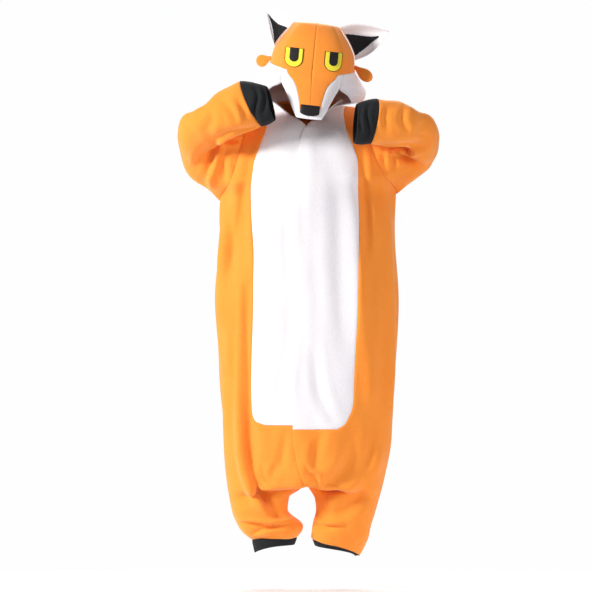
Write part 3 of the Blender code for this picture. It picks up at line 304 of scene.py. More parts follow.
def smooth(values, at):
    """Monotone cubic curve through values at 0, 1, 2, ...: slopes are harmonic means of the steps."""
    values = np.asarray(values, float)
    step = np.diff(values)
    slope = np.zeros(len(values))
    same = step[:-1] * step[1:] > 0
    inner = np.zeros(len(step) - 1)
    inner[same] = 2 * step[:-1][same] * step[1:][same] / (step[:-1] + step[1:])[same]
    slope[1:-1] = inner
    slope[0], slope[-1] = step[0], step[-1]
    at = np.clip(np.asarray(at, float), 0, len(values) - 1)
    cell = np.minimum(at.astype(int), len(values) - 2)
    t = at - cell
    a, b = values[cell], values[cell + 1]
    return (
        a * (1 + 2 * t) * (1 - t) ** 2 + b * t * t * (3 - 2 * t)
        + slope[cell] * t * (1 - t) ** 2 - slope[cell + 1] * t * t * (1 - t)
    )


def cubic(a, b, c, d, t):
    """Cubic Bezier curve through control values a, b, c, d at share t."""
    return a * (1 - t) ** 3 + 3 * b * t * (1 - t) ** 2 + 3 * c * t * t * (1 - t) + d * t ** 3


def ramp(x):
    """0 to 1, level at both ends."""
    x = np.clip(x, 0, 1)
    return x * x * (3 - 2 * x)


def unit(v):
    """Vectors at length 1: each divided by the root of the sum of its squares."""
    size = np.linalg.norm(v, axis=-1, keepdims=True)
    return v / np.where(size > 1e-12, size, 1)


# ---------------------------------------------------------------- surfaces


def body_surface(side, face, row, t):
    """Point of a body half: a cubic section from its centre edge (t = 0) to its side edge (t = 1)."""
    row, t = np.broadcast_arrays(np.asarray(row, float), np.asarray(t, float))
    centre = FRONT_EDGE if face == "front" else BACK_EDGE
    centre_x = smooth(FRONT_EDGE[side + "_x"], row)
    if face == "back":
        centre_x = np.where(row < CROTCH_ROW, 0.0, centre_x)
    side_x = smooth(SIDE_EDGE[side + "_x"], row)
    wide = side_x - centre_x
    out = -1 if face == "front" else 1
    shape = {key: smooth(column, row) for key, column in FULLNESS.items()}
    centre_y, side_y = smooth(centre["y"], row), smooth(SIDE_EDGE[face + "_y"], row)
    x = cubic(
        centre_x, centre_x + shape["centre_reach"] * wide,
        side_x - shape["side_reach"] * wide, side_x, t,
    )
    y = cubic(
        centre_y, centre_y + out * shape["centre_pull"], side_y + out * shape["side_pull"], side_y, t
    )
    h = smooth(centre["h"], row) * (1 - t) + smooth(SIDE_EDGE[side + "_h"], row) * t
    return np.stack([SIDES[side] * x, y, h], axis=-1)


def share_at_x(side, rows, x):
    """For each row, the t of the front section at which it is x from the midline."""
    t = np.linspace(0, 1, 401)
    sections = np.abs(body_surface(side, "front", rows[:, None], t)[..., 0])
    return np.array([np.interp(limit, section, t) for limit, section in zip(x, sections)])


ROWS = np.concatenate([np.linspace(a, b, n + 1)[:-1] for a, b, n in ROW_CELLS] + [[ROW_CELLS[-1][1]]])


def row_index(row):
    """The index of the grid row nearest to a table row."""
    return int(np.argmin(abs(ROWS - row)))


def hang(side, share, rows=ROWS):
    """How many rows lower the left front hangs about the belly's hem, fading out to the side seam."""
    if side == "right":
        return 0 * share
    return LEFT_HANG * np.exp(-(((rows - BELLY_ROW) / HANG_ROWS) ** 2))[:, None] * ramp((1 - share) / 0.5)


def front_grid(side):
    """A front's points: columns bunch to the belly's edge, then to the side edge."""
    heights = smooth(FRONT_EDGE["h"], ROWS)
    knots = np.linspace(0, len(BELLY_EDGE["h"]) - 1, 400)
    edge_x = np.interp(heights, smooth(BELLY_EDGE["h"], knots), smooth(BELLY_EDGE[side + "_x"], knots))
    split = share_at_x(side, ROWS, edge_x)
    last = row_index(BELLY_ROW)
    low = np.arange(len(ROWS)) > last
    split[low] = split[last] + (LEG_SPLIT - split[last]) * ramp((ROWS[low] - BELLY_ROW) / LEG_ROWS)
    top = ROWS < SHOULDER_ROWS
    split[top] = np.interp(ROWS[top], (0, SHOULDER_ROWS), (SHOULDER_SPLIT, split[row_index(SHOULDER_ROWS)]))
    inner = split[:, None] * np.linspace(0, 1, BELLY_COLUMNS + 1)
    outer = split[:, None] + (1 - split[:, None]) * np.linspace(0, 1, OUTER_COLUMNS + 1)[1:]
    share = np.hstack([inner, outer])
    return body_surface(side, "front", ROWS[:, None] + hang(side, share), share)


def back_grid(side, shoulder):
    """A back's points. Its top row follows the neckline and then the front's shoulder seam."""
    count = NECK_COLUMNS + len(shoulder) - 1
    grid = body_surface(side, "back", ROWS[:, None], np.linspace(0, 1, count + 1)[None, :])
    angle = np.linspace(0, math.pi / 2, NECK_COLUMNS + 1)[:-1]
    neck, back_y, back_h = shoulder[0], BACK_EDGE["y"][0], BACK_EDGE["h"][0]
    top = np.empty_like(grid[0])
    top[:NECK_COLUMNS, 0] = neck[0] * np.sin(angle)
    top[:NECK_COLUMNS, 1] = neck[1] + (back_y - neck[1]) * np.cos(angle)
    top[:NECK_COLUMNS, 2] = neck[2] + (back_h - neck[2]) * np.cos(angle)
    top[NECK_COLUMNS:] = shoulder
    fade = ramp(1 - ROWS / NECK_FADE)[:, None, None]
    fade[:, -1] = np.where(ROWS[:, None] == 0, 1.0, 0.0)
    spread = fade * (top - grid[0])
    spread[1:, -1] = 0
    grid = grid + spread
    grid[0] = top
    return grid


def lap_grid():
    """The left front's lap: the right front's own points from the lapped edge to the midline."""
    rows = ROWS[row_index(V_ROW):row_index(LAP_ROW) + 1]
    heights = smooth(FRONT_EDGE["h"], rows)
    far = share_at_x("right", rows, np.interp(heights, LAP_EDGE["h"], LAP_EDGE["right"]))
    share = far[:, None] * np.linspace(1, 0, STRIP_COLUMNS + 1)
    return body_surface("right", "front", rows[:, None] + hang("left", share, rows), share)


def centre_out():
    """Which way is out of the garment along its centre front, as (y, h) for each row."""
    line = np.stack([smooth(FRONT_EDGE["y"], ROWS), smooth(FRONT_EDGE["h"], ROWS)], axis=-1)
    along = np.gradient(line, axis=0)
    return unit(np.stack([along[:, 1], -along[:, 0]], axis=-1))


def ring_points(ring, turn):
    """Ellipse about the ring's centre: up axis at turn 0, the wearer's front at a quarter."""
    ring = np.asarray(ring)
    turn = np.asarray(turn)[..., None]
    return ring[..., 0:3] + ring[..., 3:6] * np.cos(turn) + ring[..., 6:9] * np.sin(turn)


def sleeve_grid(side, armhole):
    """Rings from the armhole to the cuff. The armhole's own outline fades out along the upper arm."""
    table = np.array(RIGHT_SLEEVE if side == "right" else LEFT_SLEEVE)
    at = np.linspace(0, len(table) - 1, SLEEVE_RINGS + 1)
    rings = np.stack([smooth(column, at) for column in table.T], axis=-1)
    steps = np.linalg.norm(np.diff(armhole, axis=0), axis=1)
    evenly = np.concatenate([[0], np.cumsum(steps)]) / steps.sum()
    turn = evenly * 2 * math.pi
    grid = ring_points(rings[:, None, :], turn[None, :])
    fade = np.clip(1 - at / ARMHOLE_FADE, 0, 1)[:, None, None] ** 2
    grid = grid + fade * (armhole - ring_points(table[0], turn))
    grid[0] = armhole
    return grid


def cuff_grid(ring, side):
    """The wrist cuff: from the sleeve's end, a little narrower, to its loose mouth."""
    turn = np.linspace(0, 2 * math.pi, len(ring))
    end = ring_points(np.array(WRIST_CUFF_END[side]), turn)
    share = np.linspace(0, 1, WRIST_RINGS + 1)[:, None, None]
    middle = ring * (1 - share) + end * share
    waist = 1 + CUFF_PUFF * np.sin(math.pi * share)
    centre = middle.mean(axis=1, keepdims=True)
    grid = centre + (middle - centre) * waist
    grid[0] = ring
    return grid


def ankle_grid(side, hem):
    """The ankle cuff: the hem taken in a little and carried down, uneven as it slumps."""
    inseam_drop, side_drop, power = ANKLE_CUFF_DROP[side]
    reach = hem[:, 0].max() - hem[0, 0] if side == "left" else hem[:, 0].min() - hem[0, 0]
    share = (hem[:, 0] - hem[0, 0]) / reach
    low = hem + (hem.mean(axis=0) - hem) * ANKLE_TAKE_IN
    low[:, 2] = hem[:, 2] - inseam_drop - (side_drop - inseam_drop) * share ** power
    step = np.linspace(0, 1, ANKLE_RINGS + 1)[:, None, None]
    return hem * (1 - step) + low * step


def roll_head(points, weight=1.0):
    """Tips the head to the wearer's left about its chin, in full or, at the neck, in part."""
    weight = np.asarray(weight)[..., None] if np.ndim(weight) else weight
    across = points[..., 0] + MUZZLE_TURN * np.maximum(-points[..., 1] - MUZZLE_FROM, 0)
    up = points[..., 2] - HEAD_PIVOT[1]
    turned = np.stack([
        HEAD_PIVOT[0] + across * math.cos(HEAD_ROLL) + up * math.sin(HEAD_ROLL),
        points[..., 1],
        HEAD_PIVOT[1] - across * math.sin(HEAD_ROLL) + up * math.cos(HEAD_ROLL),
    ], axis=-1)
    return points + (turned - points) * weight


def face_surface(row, t):
    """Half the hood's face, wearer's left: a cubic section from the centre front to its edge."""
    row, t = np.broadcast_arrays(np.asarray(row, float), np.asarray(t, float))
    get = {key: smooth(column, row) for key, column in HOOD_FACE.items()}
    x = cubic(0 * row, 0.6 * get["edge_x"], 0.95 * get["edge_x"], get["edge_x"], t)
    y = cubic(
        get["front_y"], get["front_y"], 0.55 * get["front_y"] + 0.45 * get["edge_y"], get["edge_y"], t
    )
    h = get["front_h"] * (1 - t) + get["edge_h"] * t
    return np.stack([x, y, h], axis=-1)


def side_surface(row, t):
    """Half the hood's side, wearer's left: a cubic section from its front edge to the centre back."""
    row, t = np.broadcast_arrays(np.asarray(row, float), np.asarray(t, float))
    get = {key: smooth(column, row) for key, column in HOOD_SIDE.items()}
    x = cubic(get["edge_x"], get["out_x"], get["back_x"], 0 * row, t)
    y = cubic(get["edge_y"], get["out_y"], get["back_y"], get["back_y"], t)
    h = get["edge_h"] * (1 - t) + get["back_h"] * t
    return np.stack([x, y, h], axis=-1)


HOOD_AT = np.linspace(0, HOOD_ROWS, HOOD_ROWS * HOOD_CELLS + 1)


def face_grid(side):
    """The face's points: columns bunch to the bridge's edge, then run on to the hood's front edge."""
    rows = HOOD_AT[:, None]
    bridge = smooth(BRIDGE_SHARE, rows)
    inner = bridge * np.linspace(0, 1, BRIDGE_COLUMNS + 1)
    outer = bridge + (1 - bridge) * np.linspace(0, 1, FACE_COLUMNS - BRIDGE_COLUMNS + 1)[1:]
    points = face_surface(rows, np.hstack([inner, outer]))
    points[..., 0] *= SIDES[side]
    return roll_head(points)


def side_grid(side, neckline):
    """The hood's side. Its lowest row is the body's neckline, and the roll fades out above it."""
    points = side_surface(HOOD_AT[:, None], np.linspace(0, 1, len(neckline))[None, :])
    points[..., 0] *= SIDES[side]
    weight = np.interp(HOOD_AT, (0, 1, 2), (0.0, 0.3, 1.0))
    points = roll_head(points, np.broadcast_to(weight[:, None], points.shape[:2]))
    fade = ramp(1 - HOOD_AT / HOOD_FADE)[:, None, None]
    points = points + fade * (neckline - points[0])
    points[0] = neckline
    return points


# ---------------------------------------------------------------- the sewn skin


class Skin:
    """Every grid of the sewn cloth in one list of points, with seam points shared."""

    def __init__(self):
        self.points, self.quads, self.labels, self.names = [], [], [], []
        self.count = 0

    def label(self, name):
        """The number of a piece, given when its name is first used."""
        if name not in self.names:
            self.names.append(name)
        return self.names.index(name)

    def add(self, grid, labels, inside):
        """Adds a grid. labels gives each cell's piece, and inside a point within the cloth."""
        rows, columns = grid.shape[:2]
        index = np.arange(rows * columns).reshape(rows, columns)
        quads = np.stack([index[:-1, :-1], index[:-1, 1:], index[1:, 1:], index[1:, :-1]], axis=-1)
        corners = grid.reshape(-1, 3)[quads]
        normal = np.cross(corners[..., 2, :] - corners[..., 0, :], corners[..., 3, :] - corners[..., 1, :])
        if (normal * (corners.mean(axis=2) - np.asarray(inside))).sum() < 0:
            quads = quads[..., ::-1]
        self.quads.append(quads.reshape(-1, 4) + self.count)
        self.labels.append(np.broadcast_to(labels, (rows - 1, columns - 1)).reshape(-1))
        self.points.append(grid.reshape(-1, 3))
        self.count += rows * columns

    def tube(self, grid, name):
        """Adds a tube in two lengths, so that which way is out is judged close to each."""
        half = len(grid) // 2
        for part in (grid[:half + 1], grid[half:]):
            self.add(part, self.label(name), part[:, :-1].mean(axis=(0, 1)))

    def sew(self):
        """Merges points that meet."""
        points = np.concatenate(self.points)
        keys = np.round(points / WELD).astype(np.int64)
        _, first, index = np.unique(keys, axis=0, return_index=True, return_inverse=True)
        self.points = points[first]
        self.quads = index.reshape(-1)[np.concatenate(self.quads)]
        self.labels = np.concatenate(self.labels)
        self.find_normals()

    def find_normals(self):
        """Each point's normal: the sum of its cells' crossed diagonals, at length 1."""
        corners = self.points[self.quads]
        normal = np.cross(corners[:, 2] - corners[:, 0], corners[:, 3] - corners[:, 1])
        self.normals = np.zeros_like(self.points)
        for corner in range(4):
            np.add.at(self.normals, self.quads[:, corner], normal)
        self.normals = unit(self.normals)

    def touching(self, word):
        """Which points belong to a piece whose name holds the word."""
        chosen = [i for i, name in enumerate(self.names) if word in name]
        mask = np.zeros(len(self.points), bool)
        mask[self.quads[np.isin(self.labels, chosen)].ravel()] = True
        return mask

    def piece(self, name, thickness, seam_depth):
        """A piece's closed wall. Its outer face rolls down into the seams and its edges stay apart."""
        quads = self.quads[self.labels == self.names.index(name)]
        starts, ends = quads.ravel(), np.roll(quads, -1, axis=1).ravel()
        real = starts != ends
        owner = np.repeat(np.arange(len(quads)), 4)[real]
        starts, ends = starts[real], ends[real]
        size = len(self.points)
        forward, backward = starts * size + ends, ends * size + starts
        rim = ~np.isin(forward, backward)
        a, b, centre = starts[rim], ends[rim], self.points[quads[owner[rim]]].mean(axis=1)
        along = unit(self.points[b] - self.points[a])
        across = centre - self.points[a]
        across = unit(across - along * (across * along).sum(axis=1, keepdims=True))
        inward = np.zeros_like(self.points)
        np.add.at(inward, a, across)
        np.add.at(inward, b, across)
        used = np.unique(quads)
        place = np.zeros(size, int)
        place[used] = np.arange(len(used))
        move = inward[used]
        mitre = 2 * move / np.maximum((move * move).sum(axis=1, keepdims=True), 0.5)
        middle = self.points[used] + mitre * SEAM_GAP / 2
        near = self.near_rim(np.unique(a), quads, used)
        sink = seam_depth * np.exp(-((near / SEAM_ROLL) ** 2))[:, None]
        outer = middle + self.normals[used] * (thickness / 2 - sink)
        inner = middle - self.normals[used] * (thickness / 2 + sink * INNER_SINK)
        quads = place[quads]
        count = len(used)
        a, b = place[a], place[b]
        walls = np.stack([b, a, a + count, b + count], axis=-1)
        faces = np.concatenate([quads, quads[:, ::-1] + count, walls])
        return np.concatenate([outer, inner]), faces

    def near_rim(self, rim, quads, used):
        """Each point's distance along the cloth from the piece's rim, walked cell by cell."""
        far = np.full(len(self.points), 1.0)
        far[rim] = 0.0
        pairs = np.concatenate([
            np.stack([quads[:, i], quads[:, (i + 1) % 4]], axis=1) for i in range(4)
        ])
        length = np.linalg.norm(self.points[pairs[:, 0]] - self.points[pairs[:, 1]], axis=1)
        for _ in range(4):
            np.minimum.at(far, pairs[:, 0], far[pairs[:, 1]] + length)
            np.minimum.at(far, pairs[:, 1], far[pairs[:, 0]] + length)
        return far[used]


PATH_POINTS = 120


def path_through(knots, count):
    """Points along a smooth curve through the knots."""
    knots = np.asarray(knots, float)
    at = np.linspace(0, len(knots) - 1, count)
    return np.stack([smooth(knots[:, 0], at), smooth(knots[:, 1], at)], axis=-1)


def crease(skin, chosen, seen_from, depth, width, lean, knots):
    """Pushes the skin in along a path, deepest at mid length, with a soft lip beside the trough."""
    towards = {"front": (0, -1, 0), "back": (0, 1, 0), "right": (-1, 0, 0), "left": (1, 0, 0)}[seen_from]
    facing = (skin.normals * towards).sum(axis=1)
    plane = skin.points[:, (0, 2)] if seen_from in ("front", "back") else skin.points[:, (1, 2)]
    knots = np.asarray(knots, float)
    reach = width * 4
    low, high = knots.min(axis=0) - reach, knots.max(axis=0) + reach
    near = chosen & (facing > 0.05) & ((plane > low) & (plane < high)).all(axis=1)
    ids = np.nonzero(near)[0]
    if not len(ids):
        return
    path = path_through(knots, PATH_POINTS)
    gap = plane[ids][:, None, :] - path[None]
    distance = (gap ** 2).sum(axis=2)
    nearest = distance.argmin(axis=1)
    along = np.gradient(path, axis=0)[nearest]
    along /= np.linalg.norm(along, axis=1, keepdims=True)
    offset = gap[np.arange(len(ids)), nearest]
    side = along[:, 0] * offset[:, 1] - along[:, 1] * offset[:, 0]
    beyond = (offset * along).sum(axis=1)
    past = np.where((nearest == 0) | (nearest == PATH_POINTS - 1), beyond, 0)
    share = 0.04 + 0.92 * nearest / (PATH_POINTS - 1)
    taper = np.sin(math.pi * share) ** 0.7 * np.exp(-((past / width) ** 2))
    d = side / width
    trough = np.exp(-d * d)
    lip = np.exp(-((np.abs(d) - LIP_REACH) / LIP_WIDTH) ** 2) * LIP_HEIGHT
    if lean:
        d = d * lean
        trough = np.where(d > 0, np.exp(-((d / STEEP) ** 2)), np.exp(-((d / GENTLE) ** 2)))
        lip = np.where(d > 0, np.exp(-(((d - HIGH_LIP_REACH) / LIP_WIDTH) ** 2)) * HIGH_LIP_HEIGHT, 0)
    push = depth * taper * (lip - trough) * ramp(facing[ids] / 0.35)
    skin.points[ids] += skin.normals[ids] * push[:, None]


def drape(skin, share):
    """The uneven hang of loose cloth: bent waves, their crests nearly upright, summed over the skin."""
    push = np.zeros(len(skin.points))
    for wave, bend, depth in DRAPES:
        phase = skin.points @ np.array(wave)
        push += depth * np.sin(phase + bend * np.sin(DRAPE_BEND * phase + DRAPE_WANDER * skin.points[:, 2]))
    skin.points += skin.normals * (push * share)[:, None]


# ---------------------------------------------------------------- laying out the garment


def sew_body(skin):
    """Adds fronts, backs, sleeves, cuffs and hood, each sharing its seams with its neighbours."""
    v, armpit = row_index(V_ROW), row_index(ARMPIT_ROW)
    belly_end, lap_end = row_index(BELLY_ROW), row_index(LAP_ROW)
    for side, sign in SIDES.items():
        front = front_grid(side)
        back = back_grid(side, front[0])
        heart = [0.11 * sign, 0.0, 0.70]
        cells = np.full((len(ROWS) - 1, front.shape[1] - 1), skin.label(side + "_front"))
        cells[:belly_end, :BELLY_COLUMNS] = skin.label(side + "_belly")
        laid = front
        if side == "left":
            rise = centre_out() * PLACKET_LIFT
            share = ramp(1 - np.abs(front[..., 0]) / PLACKET_RAMP)
            share[:v] = 0
            share[lap_end + 1:] = 0
            laid = front.copy()
            laid[..., 1:] += share[..., None] * rise[:, None, :]
            lap = lap_grid()
            lap[..., 1:] += rise[v:lap_end + 1, None, :]
            lap[:, -1] = laid[v:lap_end + 1, 0]
            lap_cells = np.full((len(lap) - 1, lap.shape[1] - 1), skin.label("left_front"))
            lap_cells[:belly_end - v] = skin.label("left_belly")
            skin.add(lap, lap_cells, heart)
        skin.add(laid, cells, heart)
        skin.add(back, skin.label(side + "_back"), heart)
        armhole = np.concatenate([front[:armpit + 1, -1], back[:armpit + 1, -1][::-1][1:]])
        sleeve = sleeve_grid(side, armhole)
        skin.tube(sleeve, side + "_sleeve")
        skin.tube(cuff_grid(sleeve[-1], side), side + "_wrist_cuff")
        hem = np.concatenate([front[-1], back[-1][::-1][1:]])
        skin.tube(ankle_grid(side, hem), side + "_ankle_cuff")
        corner = row_index(1)
        neckline = np.concatenate([front[:corner + 1, 0][::-1], back[0, :NECK_COLUMNS][::-1]])
        add_hood(skin, side, neckline)


def add_hood(skin, side, neckline):
    """Adds half the hood: orange, with the white cheek up to its row and the lip along the lowest."""
    face, around = face_grid(side), side_grid(side, neckline)
    inside = roll_head(np.array([0.0, 0.0, 1.50]))
    cheek_end = CHEEK_ROW * HOOD_CELLS
    hood, cheek = skin.label(side + "_hood"), skin.label(side + "_cheek")
    cells = np.full((len(face) - 1, face.shape[1] - 1), hood)
    cells[:cheek_end, BRIDGE_COLUMNS:] = cheek
    cells[:LIP_ROW * HOOD_CELLS] = cheek
    skin.add(face, cells, inside)
    cells = np.full((len(around) - 1, around.shape[1] - 1), hood)
    cells[:cheek_end, :WHITE_SIDE_COLUMNS] = cheek
    skin.add(around, cells, inside)


# ---------------------------------------------------------------- meshes


def new_mesh(name, points, faces, material, slot):
    """A mesh object from arrays, quads possibly with a doubled corner, shaded smooth."""
    points = np.array(points, float)
    points[:, 2] -= HOLD_HEIGHT
    kept = faces != np.roll(faces, 1, axis=1)
    corners = kept.sum(axis=1)
    kept &= (corners > 2)[:, None]
    corners = corners[corners > 2]
    mesh = bpy.data.meshes.new(name)
    mesh.vertices.add(len(points))
    mesh.vertices.foreach_set("co", points.ravel())
    mesh.loops.add(int(corners.sum()))
    mesh.loops.foreach_set("vertex_index", faces[kept])
    mesh.polygons.add(len(corners))
    mesh.polygons.foreach_set("loop_start", np.cumsum(corners) - corners)
    mesh.validate()
    mesh.update()
    mesh.shade_smooth()
    obj = bpy.data.objects.new(name, mesh)
    bpy.context.scene.collection.objects.link(obj)
    mesh.materials.append(material)
    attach(obj, "root")
    return obj


# ---------------------------------------------------------------- materials


def group_fleece():
    """Nap of brushed fleece: value noise at pile size over soft blotches. Gives colour and normal."""
    tree = bpy.data.node_groups.new("Fleece nap", "ShaderNodeTree")
    for name, kind, value in (
        ("Colour", "NodeSocketColor", (0.8, 0.8, 0.8, 1)),
        ("Shade", "NodeSocketColor", (0.5, 0.5, 0.5, 1)),
        ("Pile scale", "NodeSocketFloat", 900.0),
        ("Blotch scale", "NodeSocketFloat", 9.0),
        ("Nap depth", "NodeSocketFloat", 0.0006),
    ):
        socket = tree.interface.new_socket(name, in_out="INPUT", socket_type=kind)
        socket.default_value = value
    tree.interface.new_socket("Colour", in_out="OUTPUT", socket_type="NodeSocketColor")
    tree.interface.new_socket("Normal", in_out="OUTPUT", socket_type="NodeSocketVector")
    nodes, links = tree.nodes, tree.links
    given, out = nodes.new("NodeGroupInput"), nodes.new("NodeGroupOutput")
    place = nodes.new("ShaderNodeTexCoord")
    pile, tuft, blotch = (nodes.new("ShaderNodeTexNoise") for _ in range(3))
    pile.inputs["Detail"].default_value = 3
    pile.inputs["Roughness"].default_value = 0.7
    tuft.inputs["Scale"].default_value = 190
    tuft.inputs["Detail"].default_value = 4
    blotch.inputs["Detail"].default_value = 5
    for noise in (pile, tuft, blotch):
        links.new(place.outputs["Object"], noise.inputs["Vector"])
    links.new(given.outputs["Pile scale"], pile.inputs["Scale"])
    links.new(given.outputs["Blotch scale"], blotch.inputs["Scale"])
    both = nodes.new("ShaderNodeMath")
    both.operation = "MULTIPLY_ADD"
    both.inputs[1].default_value = 0.45
    links.new(pile.outputs["Fac"], both.inputs[0])
    links.new(tuft.outputs["Fac"], both.inputs[2])
    bump = nodes.new("ShaderNodeBump")
    bump.inputs["Strength"].default_value = 1.0
    links.new(given.outputs["Nap depth"], bump.inputs["Distance"])
    links.new(both.outputs[0], bump.inputs["Height"])
    links.new(bump.outputs["Normal"], out.inputs["Normal"])
    spread = nodes.new("ShaderNodeMath")
    spread.operation = "MULTIPLY_ADD"
    spread.inputs[1].default_value = 0.5
    links.new(blotch.outputs["Fac"], spread.inputs[0])
    half = nodes.new("ShaderNodeMath")
    half.operation = "MULTIPLY"
    half.inputs[1].default_value = 0.5
    links.new(tuft.outputs["Fac"], half.inputs[0])
    links.new(half.outputs[0], spread.inputs[2])
    curve = nodes.new("ShaderNodeMapRange")
    curve.inputs["From Min"].default_value = 0.30
    curve.inputs["From Max"].default_value = 0.70
    links.new(spread.outputs[0], curve.inputs["Value"])
    mix = nodes.new("ShaderNodeMix")
    mix.data_type = "RGBA"
    links.new(curve.outputs["Result"], mix.inputs["Factor"])
    links.new(given.outputs["Shade"], mix.inputs["A"])
    links.new(given.outputs["Colour"], mix.inputs["B"])
    links.new(mix.outputs["Result"], out.inputs["Colour"])
    return tree


def cloth_material(name, nap, colour, shade, roughness, sheen, tint, pile=900.0, depth=0.0006):
    """Principled cloth over the nap group, with its own sheen."""
    material = bpy.data.materials.new(name)
    material.use_nodes = True
    nodes, links = material.node_tree.nodes, material.node_tree.links
    shader = nodes["Principled BSDF"]
    group = nodes.new("ShaderNodeGroup")
    group.node_tree = nap
    group.inputs["Colour"].default_value = (*colour, 1)
    group.inputs["Shade"].default_value = (*shade, 1)
    group.inputs["Pile scale"].default_value = pile
    group.inputs["Nap depth"].default_value = depth
    links.new(group.outputs["Colour"], shader.inputs["Base Color"])
    links.new(group.outputs["Normal"], shader.inputs["Normal"])
    shader.inputs["Roughness"].default_value = roughness
    shader.inputs["Specular IOR Level"].default_value = 0.25
    shader.inputs["Sheen Weight"].default_value = sheen
    shader.inputs["Sheen Roughness"].default_value = 0.45
    shader.inputs["Sheen Tint"].default_value = (*tint, 1)
    return material


# name: colour, shade, roughness, sheen, sheen's tint, and for felt its pile's scale and depth
CLOTHS = {
    "orange_fleece": ((0.97, 0.320, 0.046), (0.94, 0.265, 0.030), 0.95, 0.45, (1.0, 0.82, 0.55)),
    "white_fleece": ((0.86, 0.855, 0.90), (0.80, 0.79, 0.86), 0.95, 0.25, (1.0, 1.0, 1.0)),
    "black_fleece": ((0.016, 0.017, 0.020), (0.010, 0.011, 0.013), 0.9, 0.06, (0.5, 0.55, 0.65)),
    "black_rib": ((0.015, 0.017, 0.020), (0.009, 0.010, 0.012), 0.9, 0.08, (0.45, 0.5, 0.6)),
    "black_felt": ((0.012, 0.011, 0.014), (0.008, 0.008, 0.010), 0.6, 0.05, (0.5, 0.5, 0.55), 1400.0, 0.0002),
    "brown_felt": ((0.070, 0.040, 0.014), (0.050, 0.028, 0.010), 0.8, 0.05, (0.6, 0.5, 0.4), 1400.0, 0.0002),
    "yellow_felt": ((0.90, 0.80, 0.060), (0.84, 0.72, 0.045), 0.8, 0.1, (1.0, 1.0, 0.7), 1400.0, 0.0002),
}


def make_materials():
    """Each cloth's material, by name."""
    nap = group_fleece()
    return {name: cloth_material(name, nap, *values) for name, values in CLOTHS.items()}


# ---------------------------------------------------------------- pieces sewn on to the hood


def locate_on_face(x, h):
    """Row and share of the face's surface at each (x, h), by Newton steps."""
    row, t = np.interp(h, HOOD_FACE["front_h"], np.arange(HOOD_ROWS + 1.0)), 0.5 + 0 * x
    small = 1e-4
    for _ in range(14):
        here = face_surface(row, t)
        by_row = (face_surface(row + small, t) - here) / small
        by_t = (face_surface(row, t + small) - here) / small
        miss_x, miss_h = x - here[..., 0], h - here[..., 2]
        scale = by_row[..., 0] * by_t[..., 2] - by_row[..., 2] * by_t[..., 0]
        scale = np.where(abs(scale) < 1e-9, 1e-9, scale)
        row_step = (miss_x * by_t[..., 2] - miss_h * by_t[..., 0]) / scale
        t_step = (miss_h * by_row[..., 0] - miss_x * by_row[..., 2]) / scale
        row = np.clip(row + np.clip(row_step, -1, 1), 0, 9.9)
        t = np.clip(t + np.clip(t_step, -0.3, 0.3), 0, 0.99)
    return row, t


def face_points(x, h, lift):
    """Points of the face at (x, h), either side of the midline, moved out along its normal."""
    row, t = locate_on_face(np.abs(x), h)
    here = face_surface(row, t)
    out = unit(np.cross(face_surface(row, t + 1e-3) - here, face_surface(row + 1e-3, t) - here))
    here = here + out * np.asarray(lift)[..., None]
    here[..., 0] *= np.where(x < 0, -1, 1)
    return here


def slab(front, back):
    """A closed slab between two grids of points of the same size."""
    rows, columns = front.shape[:2]
    count = rows * columns
    index = np.arange(count).reshape(rows, columns)
    quads = np.stack([index[:-1, :-1], index[:-1, 1:], index[1:, 1:], index[1:, :-1]], axis=-1)
    quads = quads.reshape(-1, 4)
    rim = np.concatenate([index[0, :-1], index[:-1, -1], index[-1, :0:-1], index[:0:-1, 0]])
    ahead = np.roll(rim, -1)
    sides = np.stack([ahead, rim, rim + count, ahead + count], axis=-1)
    faces = np.concatenate([quads, quads[:, ::-1] + count, sides])
    return outward(np.concatenate([front.reshape(-1, 3), back.reshape(-1, 3)]), faces)


def outward(points, faces):
    """The same closed body with its faces turned to point out."""
    corners = points[faces]
    size = np.einsum("ij,ij->i", corners[:, 0], np.cross(corners[:, 1], corners[:, 2])).sum()
    size += np.einsum("ij,ij->i", corners[:, 0], np.cross(corners[:, 2], corners[:, 3])).sum()
    return points, (faces if size > 0 else faces[:, ::-1])


def felt(middle_x, top, half, length, lift, thickness, foot=1.0, crown=0.35):
    """A felt on the face: flat top, straight sides, round foot, and an outer face rounded at its edge."""
    down = np.linspace(0, 1, 33)[:, None]
    round_part = np.clip((down * length - (length - half * foot)) / (half * foot), 0, 0.985)
    wide = half * np.sqrt(1 - round_part ** 2)
    across = np.sin(np.linspace(-1, 1, 25) * math.pi / 2)[None, :]
    x = middle_x + wide * across
    h = top - down * length + 0 * x
    edge = np.minimum(wide * (1 - np.abs(across)), np.minimum(down, 1 - down) * length)
    full = np.sqrt(1 - (1 - np.clip(edge / (thickness * 1.5), 0, 1)) ** 2)
    rise = lift + thickness * (1 - crown + crown * full)
    return slab(roll_head(face_points(x, h, rise)), roll_head(face_points(x, h, np.full(x.shape, lift))))


def hood_cloud():
    """Points all over the hood's left half, and the normal at each, for what is sewn on to it."""
    row, t = np.meshgrid(np.linspace(1.5, 9.8, 160), np.linspace(0.01, 0.98, 160), indexing="ij")
    clouds, normals = [], []
    for surface in (face_surface, side_surface):
        here = surface(row, t)
        out = unit(np.cross(surface(row, t + 1e-3) - here, surface(row + 1e-3, t) - here))
        clouds.append(here.reshape(-1, 3))
        normals.append(out.reshape(-1, 3))
    return np.concatenate(clouds), np.concatenate(normals)


def on_hood(points, clearance, cloud):
    """Each point moved to the nearest place on the hood and out by the clearance."""
    place, out = cloud
    flip = np.where(points[:, :1] < 0, (-1, 1, 1), (1, 1, 1))
    nearest = (((points * flip)[:, None, :] - place[None]) ** 2).sum(axis=2).argmin(axis=1)
    return (place[nearest] + out[nearest] * clearance) * flip


